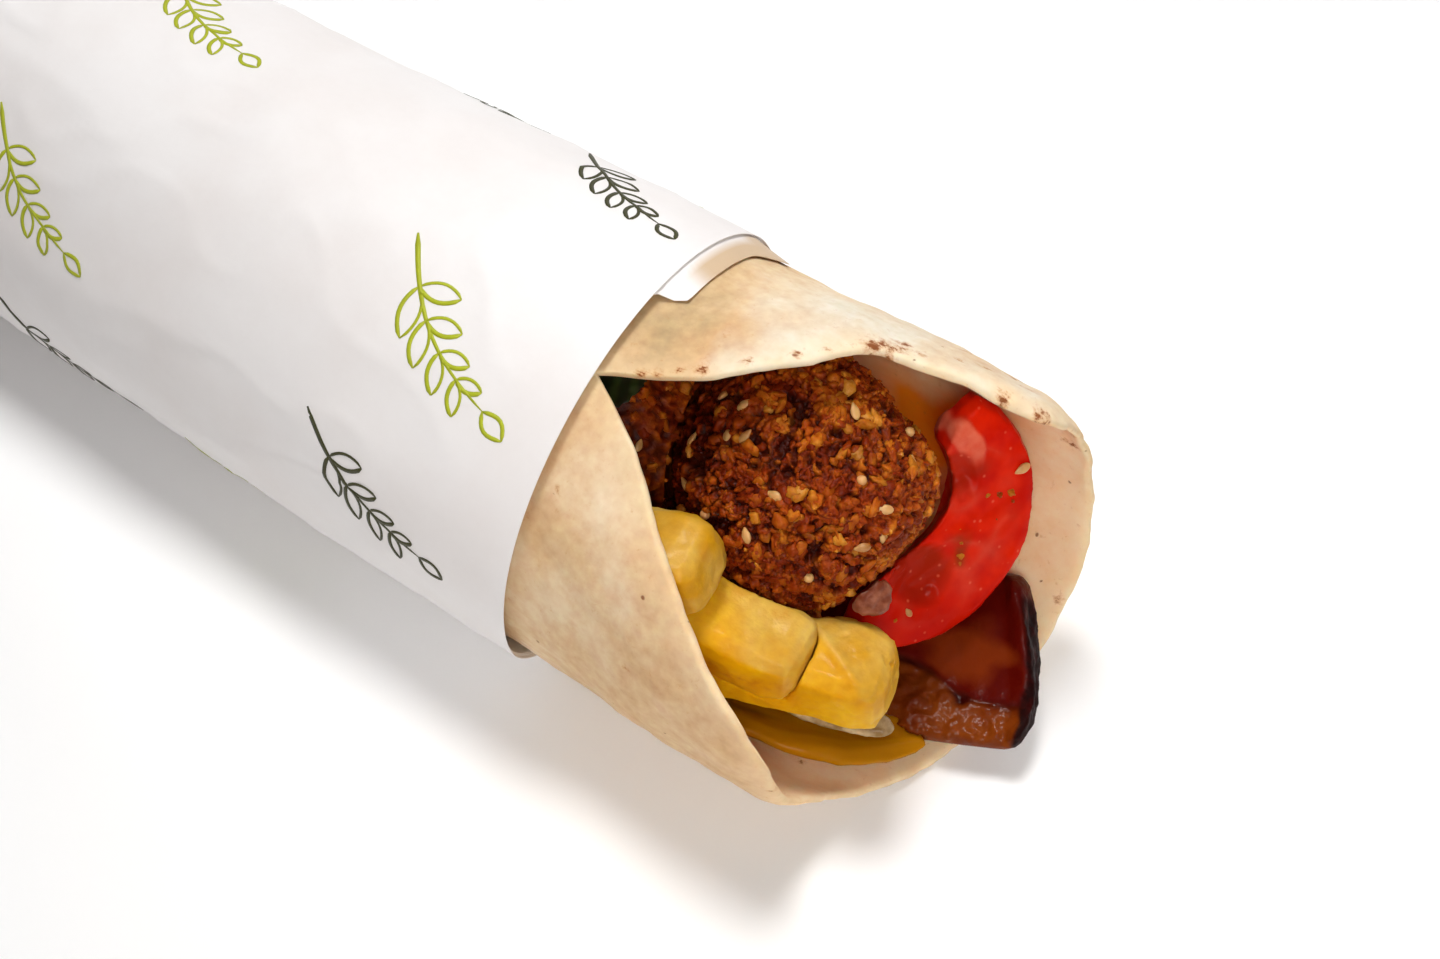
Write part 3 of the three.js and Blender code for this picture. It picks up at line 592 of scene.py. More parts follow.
class WrapColours(bpy.types.PropertyGroup):
    """Colours that a user would change"""
    paper: colour("Paper", "#ece9e8", "Bleached paper")
    paper_shade: colour("Paper shade", "#e8e3e1", "Paper where it is a little greasy")
    paper_thin: colour("Thin paper", "#c6a67c", "One layer of paper over the bread")
    print_lime: colour("Lime print", "#b3bb1c", "The light printed sprigs")
    print_olive: colour("Olive print", "#3d3c14", "The dark printed sprigs")
    bread: colour("Bread", "#d8b78e", "Baked bread")
    bread_pale: colour("Pale bread", "#e4ccaa", "Floury bread")
    bread_tan: colour("Tan bread", "#cfa87c", "Bread baked longer")
    # Painted shade on the bread beside the sleeve, by the notch.
    bread_baked: colour("Baked bread", "#b29c74", "Bread by the notch")
    # Painted light on the bread's rim.
    bread_rim: colour("Rim", "#f6deb4", "The bread's rim")
    bread_inside: colour("Inside", "#f9dab0", "The bread's pale inside")
    # Painted shade deep inside the bread.
    bread_deep: colour("Deep inside", "#f2ca98", "The inside, far from the rim")
    flour: colour("Flour", "#e2dac8", "Bread under flour")
    rust: colour("Rusty toast", "#bc7838", "Smudges round the toast specks")
    toast: colour("Toast", "#7a3a10", "Toast specks")
    # Partly oil, partly painted light: bright orange where little light reaches inside.
    oil_stain: colour("Oil stain", "#f68a16", "Bread soaked with oil and mustard")
    sesame: colour("Sesame", "#d0a062", "Pale seeds")
    sesame_dark: colour("Toasted sesame", "#9a5a1e", "Toasted seeds")
    grit: colour("Round seed", "#c9804e", "Small round seeds")
    tomato: colour("Tomato", "#de2204", "Tomato flesh")
    tomato_deep: colour("Deep tomato", "#c61202", "Darker flesh")
    tomato_rib: colour("Tomato rib", "#e67054", "Pale ribs and flecks")
    # Gel in the pockets, and painted shade in the pocket under the rib.
    tomato_pocket: colour("Tomato pocket", "#a0220c", "The seed pockets")
    tomato_green: colour("Unripe tomato", "#74350e", "Green-brown spots")
    tomato_rind: colour("Tomato skin", "#a80c02", "The skin")
    potato: colour("Potato", "#e0aa04", "Fried potato")
    potato_light: colour("Light potato", "#c48e14", "Lighter patches")
    potato_deep: colour("Deep potato", "#cc8a02", "Golden patches")
    # The cut end, and painted light on the tops.
    potato_pale: colour("Cut potato", "#cca650", "Edges and the cut end")
    potato_crisp: colour("Crisp potato", "#b86f06", "Browned patches")
    pickle: colour("Pickle", "#a86c04", "Brined cucumber")
    # Painted light on the face under the ridge and along the ridge.
    pickle_light: colour("Light pickle", "#b07404", "Paler streaks")
    pickle_deep: colour("Deep pickle", "#8e5402", "Darker streaks")
    aubergine: colour("Aubergine", "#7a2c0b", "See-through flesh")
    aubergine_dark: colour("Dark aubergine", "#540903", "Thin dark flesh")
    aubergine_low: colour("Lower aubergine", "#602003", "The folded strip")
    aubergine_light: colour("Light aubergine", "#7a380b", "Paler parts of the strip")
    # Painted shade in the crease, and the darker char on the skin's blisters.
    aubergine_crease: colour("Crease", "#300503", "The crease")
    aubergine_skin: colour("Charred skin", "#1c0605", "The skin")
    onion: colour("Onion", "#c8b28c", "Onion veins")
    onion_dark: colour("Dark onion", "#8e7046", "Watery onion")
    onion_stained: colour("Stained onion", "#9a5e46", "Onion stained by the crust")
    onion_brown: colour("Brown onion", "#6c321e", "Its darker parts")
    herb: colour("Herb", "#0e1a06", "Leaf")
    herb_vein: colour("Herb vein", "#243312", "Veins of the leaf")
    table: colour("Table", "#fcfcfc", "The floor of the scene")


# The sleeve

def mouth_edge(angle):
    """How far the outer layer of paper reaches, which is least low on the near side."""
    under = max(0, cos(angle - radians(238))) ** 6
    return -2.2 * cos(angle) + 2 * sin(angle) - 2.5 * under


def layer_edge(angle):
    """How far the inner layer of paper reaches: past the outer one at the top of the far side."""
    turned = degrees(angle) % 360
    tab = 4.6 * ramp(turned, 28, 40) * (1 - ramp(turned, 84, 90))
    return mouth_edge(angle) - 0.8 + tab + 3 * ramp(turned, 30, 40) * (1 - ramp(turned, 41, 54))


LAYER_DROOP = 1.3  # millimetres that the inner layer's edge bends down towards the bread


def strip_edge(share, angle):
    """An edge between the two layers of paper."""
    return lerp(mouth_edge(angle) - 0.6, layer_edge(angle), share)


def paper_relief(ahead, angle):
    """Soft dents, flat facets and long creases, all outwards, that fade towards the mouth."""
    p = round_the_roll(ahead / 2.2, angle)
    q = round_the_roll(ahead / 1.3, angle)
    soft = 0.5 + 0.5 * wander(p, 14, 7)
    ridge = (1 - abs(wander(p, 20, 3))) ** 4
    crease = (1 - min(abs(wander(q, 13, 9)) * 2.2, 1)) ** 3
    crinkle = wander(q, 4.5, 5)
    away = ramp(-ahead, 0, 14)
    return (0.6 * soft + 0.35 * ridge + 0.3 * crease) * away + 0.06 * crinkle * ramp(-ahead, -6, 4)


def paper_point(ahead, angle, inset=0.0):
    radius = radius_at(ahead) + paper_relief(ahead, angle) - inset
    return roll_point(ahead, radius, angle, max(inset, 0))


def pleat_point(share, turn, inset):
    """The folded end: each pleat rises slowly and drops sharply, and all wind to the middle."""
    end = -SLEEVE_LENGTH
    edge = radius_at(end + FOLD_DEPTH) - inset + paper_relief(end + FOLD_DEPTH, turn * tau)
    closing = FOLD_DEPTH * (1 - sqrt(1 - (share * 0.94) ** 4))
    wound = turn * PLEATS + (1 - share) * 0.9
    step = wound - floor(wound)
    pleat = (step - ramp(step, 0.9, 1)) * sin(share * pi)
    dimple = 0.3 * wander((share * 9, cos(turn * tau) * 9, sin(turn * tau) * 9), 4, 2) * sin(share * pi)
    ahead = end + PLEAT_HEIGHT + inset + closing - PLEAT_HEIGHT * pleat + dimple + 2.4 * (1 - share) ** 2
    return roll_point(ahead, edge * share, turn * tau, inset)


def sleeve_rings():
    """The rings of the sleeve, from the middle of its folded end over its outside and back inside."""
    back = FOLD_DEPTH - SLEEVE_LENGTH

    def wall(share, inset, edge, turn, drooped=0):
        angle = turn * tau
        droop = LAYER_DROOP * drooped * ramp(layer_edge(angle) - mouth_edge(angle), -0.5, 2)
        return paper_point(lerp(back, edge(angle), share), angle, inset + droop)

    folds = np.linspace(0.03, 1, 26)[:-1]
    rings = [partial(pleat_point, share, inset=0) for share in folds]
    rings += [partial(wall, share, 0, mouth_edge) for share in np.linspace(0, 1, 96)]
    rings += [partial(wall, 1, PAPER_WALL * 0.12, mouth_edge), partial(wall, 0.996, PAPER_WALL * 0.3, mouth_edge)]
    for share in (0.15, 0.5):
        rings.append(partial(wall, 1, PAPER_WALL * 0.5, partial(strip_edge, share), drooped=share))
    rings += [partial(wall, 1, PAPER_WALL * share, layer_edge, drooped=1) for share in (0.5, 0.62)]
    rings += [partial(wall, share, PAPER_WALL, mouth_edge) for share in (0.97, 0.9, 0.75, 0.5, 0.25, 0)]
    rings += [partial(pleat_point, share, inset=PAPER_WALL) for share in folds[::-3]]
    return rings


class WRAP_OT_sleeve(bpy.types.Operator):
    """Make the paper sleeve, with its dents, pleated end and print"""
    bl_idname = "wrap.sleeve"
    bl_label = "Paper sleeve"

    def execute(self, context):
        colours = context.scene.wrap_colours
        end = FOLD_MIDDLE - SLEEVE_LENGTH
        rings = [partial(pole, end)] + sleeve_rings() + [partial(pole, end + PAPER_WALL)]
        sleeve = skin("paper_sleeve_dented", rings, SLEEVE_COLUMNS)

        def thin(p, n):
            """1 where only the inner layer lies over the bread, on its see-through side."""
            ahead = p[0] - MOUTH
            angle = atan2(p[2] - axis_z(ahead), p[1])
            past = ramp(ahead - mouth_edge(angle), 0.1, 0.5)
            return 0.9 * past * (1 - ramp(degrees(angle), 72, 82))

        note(sleeve, thin=thin)
        finish_piece(sleeve, paper_material(colours), ["paper_sleeve"], sharp=35)
        self.print_sprigs(context)
        return {"FINISHED"}

    def print_sprigs(self, context):
        """Two inks, each one mesh of thin ribbons that lie on the paper."""
        sizes, colours = context.scene.wrap_sizes, context.scene.wrap_colours
        # Each sprig's place along and round the sleeve, its heading, and its scale
        inks = [
            ("print_lime", colours.print_lime, [
                (-33, 104, 34, 1.1), (-108, 126, 36, 1.0), (-104, 62, 24, 1.0), (-65, 198, 24, 1.0),
                (-124, 250, 32, 0.9), (-48, 292, 30, 1.0), (-100, 342, 32, 1.0), (-36, 2, 34, 1.0),
            ]),
            ("print_olive", colours.print_olive, [
                (-29, 46, 30, 0.95), (-36, 153, 31, 1.0), (-104, 184, 28, 0.95), (-66, 14, 30, 1.0),
                (-138, 96, 34, 0.9), (-78, 246, 30, 1.0), (-30, 232, 34, 1.0), (-110, 298, 30, 0.9),
            ]),
        ]
        for name, ink, places in inks:
            bm = bmesh.new()
            for ahead, turned, heading, scale in places:
                size = sizes.print_length / MM * scale
                for line, width in sprig_lines(size, sizes.print_line / MM):
                    add_ribbon(bm, line, width, ahead, radians(turned), radians(heading))
            bmesh.ops.recalc_face_normals(bm, faces=bm.faces)
            finish_piece(from_bmesh(name, bm), ink_material(name + "_ink", ink))


def sprig_lines(size, line):
    """A curved stem with pairs of small leaflet outlines, along X from its foot. Each line is its
    points and their widths."""
    lines = []

    def stem(t):
        return Vector((size * t, 0.12 * size * sin(t * pi * 0.9)))

    steps = [k / 16 for k in range(17)]
    lines.append(([stem(t) for t in steps], [line * (1.1 - 0.7 * t) for t in steps]))
    for k, t in enumerate((0.28, 0.46, 0.64, 0.8)):
        foot = stem(t)
        for side in (-1, 1):
            leaf = size * (0.3 - 0.17 * t) * (1.05 if side > 0 else 0.92)
            lean = radians(side * (48 - 14 * t))
            turn = Matrix.Rotation(lean, 2)
            for edge in (-1, 1):
                outline = [turn @ Vector((leaf * s, edge * 0.21 * leaf * sin(s * pi) ** 0.8)) + foot
                           for s in [j / 9 for j in range(10)]]
                lines.append((outline, [line * (0.85 if edge > 0 else 0.6)] * 10))
    tip = stem(1)
    for edge in (-1, 1):
        outline = [tip + Vector((0.17 * size * s, edge * 0.05 * size * sin(s * pi) - 0.02 * size * s))
                   for s in [j / 8 for j in range(9)]]
        lines.append((outline, [line * 0.8] * 9))
    return lines


def add_ribbon(bm, line, widths, ahead, angle, heading):
    """Lays a line on the paper round (ahead, angle) as a closed ribbon a twentieth of a
    millimetre thick. Its ends are pointed."""
    turn = Matrix.Rotation(heading, 2)
    rings = []
    for k, (p, width) in enumerate(zip(line, widths)):
        before, after = line[max(k - 1, 0)], line[min(k + 1, len(line) - 1)]
        along = (after - before).normalized()
        side = Vector((-along.y, along.x)) * width / 2
        if k in (0, len(line) - 1):
            side *= 0.35
        ring = []
        for across, lift in ((-1, 0.02), (1, 0.02), (1, 0.07), (-1, 0.07)):
            q = turn @ (p + side * across)
            ring.append(bm.verts.new(paper_point(ahead + q.x, angle + q.y / SLEEVE_RADIUS, -lift) * MM))
        rings.append(ring)
    for a, b in zip(rings, rings[1:]):
        for i in range(4):
            bm.faces.new((a[i], a[(i + 1) % 4], b[(i + 1) % 4], b[i]))
    bm.faces.new(rings[0])
    bm.faces.new(reversed(rings[-1]))


# The flatbread

def spaced_turns(count):
    """Degrees turned from the notch, spaced evenly along the rim, so that its steep sides get as
    many columns as they need."""
    steps = 720
    lengths = [0.0]
    for i in range(1, steps + 1):
        a, b = (i - 1) * 360 / steps, i * 360 / steps
        lengths.append(lengths[-1] + hypot(radians(b - a) * SLEEVE_RADIUS, curve_at(RIM, b) - curve_at(RIM, a)))
    return [float(np.interp(k / count * lengths[-1], lengths, np.arange(steps + 1) * 360 / steps))
            for k in range(count)]


def bread_radius(ahead, angle):
    p = round_the_roll(ahead, angle)
    bare = ramp(ahead, 0, 8)
    uneven = 0.55 * wander(p, 17, 3) * bare + (0.2 * wander(p, 5.5, 4) + 0.07 * wander(p, 2.2, 5)) * bare
    return radius_at(ahead) - lerp(PAPER_WALL + PAPER_GAP, BREAD_INSET, ramp(ahead, -14, 0)) + uneven


def bare_radius(ahead, turned):
    """The bread's outer radius past the sleeve, where its rim leans in or out."""
    share = min(max((ahead + BARE_BACK) / (curve_at(RIM, turned) + BARE_BACK), 0), 1)
    lean = curve_at(RIM, turned, 2) * ramp(ahead, 4, 34) * share ** LEAN_POWER
    return bread_radius(ahead, radians(NOTCH_ANGLE - turned)) + lean


def turned_of(p):
    """A point's place on the roll: millimetres ahead, and degrees turned from the notch."""
    ahead = p[0] - MOUTH
    return ahead, (NOTCH_ANGLE - degrees(atan2(p[2] - axis_z(ahead), p[1]))) % 360


# Toasted places that show in the mouth: how far ahead, degrees turned from the notch, and their reach
TOAST = [
    (29.5, 43, 1.6), (30.9, 46, 1.9), (32.6, 49, 1.3), (31.9, 52, 1.2), (35.2, 52, 0.7), (38.5, 60, 0.8),
    (41.4, 65, 1.1), (36.9, 71, 0.7), (43.9, 73, 0.9), (44.8, 76, 0.7), (47.5, 70, 1.0), (52.4, 64, 1.0),
    (51.8, 62, 0.8), (52.4, 101, 1.1), (51.3, 101, 0.8), (53.2, 92, 0.7), (50.0, 137, 0.7), (56.7, 151, 0.8),
    (5.3, 332, 0.6), (22.8, 298, 0.6), (45.4, 274, 0.7), (39.7, 231, 0.8), (7.4, 5, 0.8), (9.9, 7, 0.9),
    (12.0, 10, 0.6), (14.4, 13, 1.0), (18.9, 20, 0.7), (23.6, 28, 0.7), (26.1, 34, 0.6), (47.2, 57, 0.9),
]


class WRAP_OT_bread(bpy.types.Operator):
    """Make the rolled flatbread with its slanting mouth, and the layers inside it"""
    bl_idname = "wrap.bread"
    bl_label = "Flatbread"

    def execute(self, context):
        wall = context.scene.wrap_sizes.bread_wall / MM
        material = bread_material(context.scene.wrap_colours)
        columns = spaced_turns(BREAD_COLUMNS)
        end = BREAD_BACK - SLEEVE_LENGTH
        covered = end + 4
        lowest = PAPER_WALL + PAPER_GAP

        def turned_at(turn):
            return columns[round(turn * len(columns)) % len(columns)]

        def cap(share, turn):
            angle = radians(NOTCH_ANGLE - turned_at(turn))
            return roll_point(end + 4 * (1 - sqrt(1 - share ** 2)), bread_radius(covered, angle) * share,
                              angle, lowest)

        def under_paper(share, turn):
            angle = radians(NOTCH_ANGLE - turned_at(turn))
            ahead = lerp(covered, -BARE_BACK, share)
            return roll_point(ahead, bread_radius(ahead, angle), angle, lowest)

        def bare(share, back, inset, turn, bulge=0.0):
            turned = turned_at(turn)
            angle = radians(NOTCH_ANGLE - turned)
            nibble = 0.3 * wander(round_the_roll(0, angle), 5, 11) + 0.16 * wander(round_the_roll(0, angle), 1.9, 12)
            ahead = lerp(back, curve_at(RIM, turned) + nibble, share) + bulge
            floor_z = lerp(lowest, 0.3, ramp(ahead, 3, 10))
            return roll_point(ahead, bare_radius(ahead, turned) - inset, angle, floor_z + inset)

        lip = 0.62 * wall
        rings = [partial(pole, end)] + [partial(cap, share) for share in (0.3, 0.55, 0.75, 0.9, 0.97)]
        rings += [partial(under_paper, share) for share in np.linspace(0, 0.94, 12)]
        rings += [partial(bare, share, -BARE_BACK, 0) for share in np.linspace(0, 0.985, 80)]
        rings += [partial(bare, 1, -BARE_BACK, inset, bulge=bulge) for inset, bulge in
                  ((0.08, 0.0), (0.3, 0.28), (0.62, 0.4), (0.95, 0.36), (1.2, 0.2))]
        rings += [partial(bare, share, -HOLLOW_DEPTH, lerp(wall, lip, ramp(share, 0.8, 1)))
                  for share in np.linspace(0.992, 0, 64)]
        rings.append(partial(pole, -HOLLOW_DEPTH))
        bread = skin("flatbread_baked", rings, len(columns))
        self.note_places(bread)
        finish_piece(bread, material, ["flatbread"])
        bed = self.make_bed(wall)
        self.note_places(bed)
        finish_piece(bed, material)
        return {"FINISHED"}

    def note_places(self, piece):
        """For the material: millimetres back from the rim, the inside, oily patches that also paint light, flour with
        painted shade, and toast.
        """
        # The place of each oily patch, which also paints light on the inside behind the flap, its reach and how much it
        # soaks
        stains = [
            (60, 32, 33, 8, 0.6), (66, 32, 30, 7, 0.9), (72, 32, 26, 7, 0.9), (73, 32, 37, 4, 0.6),
            (80, 31, 43, 5, 0.35), (86, 22, 57, 6, 0.3), (84, 24, 34, 6, 0.3),
        ]
        arc = radians(1) * SLEEVE_RADIUS
        course = np.array([(curve_at(RIM, k / 2), k / 2) for k in range(720)])
        marks = np.array(TOAST)

        def steps_round(turned, others):
            """Millimetres round the roll from one place to others."""
            return ((others - turned + 180) % 360 - 180) * arc

        def edge(p, n):
            ahead, turned = turned_of(p)
            return float(np.hypot(course[:, 0] - ahead, steps_round(turned, course[:, 1])).min())

        def inside(p, n):
            ahead, turned = turned_of(p)
            radius = hypot(p[2] - axis_z(ahead), p[1])
            return ramp(bare_radius(ahead, turned) - radius, 0.5, 1.5)

        def stain(p, n):
            soaked = sum(weight * exp(-((p[0] - x) ** 2 + (p[1] - y) ** 2 + (p[2] - z) ** 2) / size ** 2)
                         for x, y, z, size, weight in stains)
            return min(soaked * (1 + 0.4 * wander(p, 6, 8)), 1) * inside(p, n)

        def floury(p, n):
            """How much flour is left: most on the flap, none low on the near side, which leaves that shaded side
            darker as painted shade, and less than none by the notch, where painted shade beside the sleeve darkens the
            bread."""
            ahead, turned = turned_of(p)
            flap = 1 - ramp(abs((turned - 30 + 180) % 360 - 180), 22, 62)
            past = ramp(ahead + 3 * wander(p, 9, 22), 7, 22)
            # Painted shade beside the sleeve's edge, by the notch.
            baked = 0.7 * exp(-((ahead - 7) / 8) ** 2 - ((turned - 20) / 17) ** 2) * (1 + 0.5 * wander(p, 4, 23))
            return (0.85 * flap * past * (0.8 + 0.4 * wander(p, 7, 21)) - baked) * (1 - inside(p, n))

        def toast(p, n):
            ahead, turned = turned_of(p)
            away = np.hypot(marks[:, 0] - ahead, steps_round(turned, marks[:, 1])) / marks[:, 2]
            return float(np.exp(-away ** 2).max())

        note(piece, edge=edge, inside=inside, stain=stain, floury=floury, toast=toast)

    def make_bed(self, wall):
        """The roll's inner layers, on which the falafel lies, with one folded edge showing."""
        span = HOLLOW_DEPTH + BED_LENGTH + 2
        rows = 40

        def place(row, turn):
            along = -cos(row / (rows - 1) * pi)
            x = (1 if along > 0 else -1) * (1 - (1 - abs(along)) ** 1.6)
            ring = (1 - abs(x) ** 7) ** (1.8 / 7)
            c, s = cos(turn * tau), sin(turn * tau)
            reach = ring / (abs(c) ** 2.4 + abs(s) ** 2.4) ** (1 / 2.4)
            ahead = x * span / 2 + span / 2 - HOLLOW_DEPTH - 2
            inner = radius_at(ahead) - BREAD_INSET - 0.8
            y = min(max(reach * c * 29, 2 - inner), inner - 2)
            z = reach * s * 20
            low = axis_z(ahead) - sqrt(inner ** 2 - y ** 2)
            top = BED_HEIGHT + 0.012 * y * y + 0.8 * wander((ahead, y, z), 9, 13) - 0.08 * ahead
            return Vector((MOUTH + ahead, y, lerp(low + 0.2, top, ramp(z, -20, 20))))

        return skin("flatbread_inner_layers", [partial(place, row) for row in range(rows)], 72)


# The falafels

# Where the front falafel is pressed flat: the way each flat side faces, and how far out it lies
PRESSED_SIDES = [((0.295, 0.867, 0.404), 16.4), ((0.885, -0.068, -0.458), 15.8), ((0.827, 0.56, -0.04), 17.9)]
FALAFELS = {
    "front": {"middle": (24.9 + MOUTH, 5.8, 39.9), "seed": 11, "fineness": 7, "flats": PRESSED_SIDES},
    "back": {"middle": (-7.6 + MOUTH, -2.4, 37.0), "seed": 29, "fineness": 6, "flats": []},
}
VIEW_SIDE = Vector((0.6, -0.35, 0.72))  # the side of the front falafel that shows in the mouth
PALE_SIDE = Vector((0.71, 0.53, 0.46))  # the side of a falafel painted lighter; painted shade darkens the side turned away from it
# Seeds that show in the mouth: which kind, the direction they lie in from the falafel's middle, and
# how far they are turned
SHOWN_SEEDS = [
    ("sesame", (-0.4, -0.5, 0.77), 85), ("sesame", (-0.25, -0.48, 0.84), 5), ("sesame", (0.17, -0.7, 0.69), 85),
    ("sesame", (-0.37, -0.29, 0.88), 10), ("sesame", (0.3, 0.11, 0.95), -50), ("sesame", (0.77, 0.2, 0.61), -60),
    ("sesame", (0.8, -0.24, 0.55), 60), ("sesame", (0.87, -0.33, 0.36), 30), ("sesame", (0.8, -0.49, 0.36), 85),
    ("sesame", (0.09, -0.92, 0.39), 30), ("sesame", (-0.65, -0.19, 0.74), 80), ("grit", (0.57, -0.81, 0.14), 0),
    ("grit", (-0.3, -0.9, 0.31), 0), ("grit", (0.62, -0.25, 0.75), 0), ("grit", (0.62, 0.41, 0.67), 0),
    ("sesame", (-0.72, -0.5, 0.48), 35), ("sesame", (-0.6, -0.75, 0.28), 80),
]


def ball_radius(direction, flats, radius):
    """A falafel's radius in a direction, less where it is pressed flat."""
    for way, reach in flats:
        flat = reach / max(direction.dot(Vector(way)), 0.3)
        blend = max(1 - abs(radius - flat) / 4, 0)
        radius = min(radius, flat) - blend ** 2
    return radius


def crust(direction, seed):
    """Height of a falafel's surface over its radius, its painted shade, and its crumb's own number:
    lumps, crumbs of three sizes pushed out of round, and a few deep pits. The painted shade is darkest
    in the cracks and low places and on the side turned away from the lit side, whose crumbs get darker numbers too."""
    p = direction * FALAFEL_RADIUS
    lumps = 0.75 * wander(p, 12, seed) + 0.5 * wander(p, 5.5, seed + 1)
    q = p + Vector((wander(p, 2.4, 5), wander(p, 2.4, 6), wander(p, 2.4, 7))) * 0.7
    q += Vector((wander(p, 0.9, 8), wander(p, 0.9, 9), wander(p, 0.9, 10))) * 0.25
    _, own, gap = grain(q, 3.6, seed)
    _, own_middle, gap_middle = grain(q, 2.0, seed + 3)
    fine, own_fine, gap_fine = grain(q, 1.1, seed + 7)
    pit = 0.5 * ramp(wander(p, 2.6, seed + 5), 0.45, 0.9)
    height = lumps + 0.9 * (own - 0.4) * ramp(gap, 0, 0.3) - 0.5 * (1 - ramp(gap, 0, 0.16))
    height += 0.55 * (own_middle - 0.5) * ramp(gap_middle, 0, 0.3) - 0.32 * (1 - ramp(gap_middle, 0, 0.2))
    height += 0.3 * (own_fine - 0.5) - 0.22 * fine + 0.25 * wander(p, 0.7, seed + 9) - 1.5 * pit
    crack = 0.4 * (1 - ramp(gap, 0, 0.2)) + 0.35 * (1 - ramp(gap_middle, 0, 0.2)) + pit
    crack += 0.12 * (1 - ramp(gap_fine, 0, 0.25)) + 0.4 * ramp(-height, 0.1, 1.3)
    # Painted shade over the side of the falafel turned away from the lit side.
    fried = ramp(-direction.dot(PALE_SIDE), -0.5, 0.8)
    return height, min(crack + 0.42 * fried, 1), 0.3 * own + 0.4 * own_middle + 0.3 * own_fine - 0.2 * fried


def facing(direction, turned, place):
    """A place on a ball, with Z outwards and X turned round it."""
    outwards = direction.to_track_quat("Z", "X").to_matrix() @ Matrix.Rotation(radians(turned), 3, "Z")
    return Matrix.Translation(place) @ outwards.to_4x4()


def crumb_form(k, p):
    """A broken crumb: from a lump to a flake, by its number."""
    lumps = noise.noise(p * 1.1 + Vector((7.3 * k, 0, 0)))
    dents = noise.noise(p * 2.6 + Vector((0, 4.1 * k, 0)))
    wobble = 1 + 0.6 * lumps + 0.3 * dents
    return Vector((p.x * (1.0 + 0.12 * k), p.y * (0.95 - 0.05 * k), p.z * (0.85 - 0.08 * k))) * wobble


def sesame_form(p):
    """A flat teardrop a unit long, its point at +X."""
    taper = 1 - 0.42 * ramp(p.x, -0.2, 1)
    return Vector((p.x * 0.5, p.y * 0.29 * taper, p.z * 0.16 * taper))


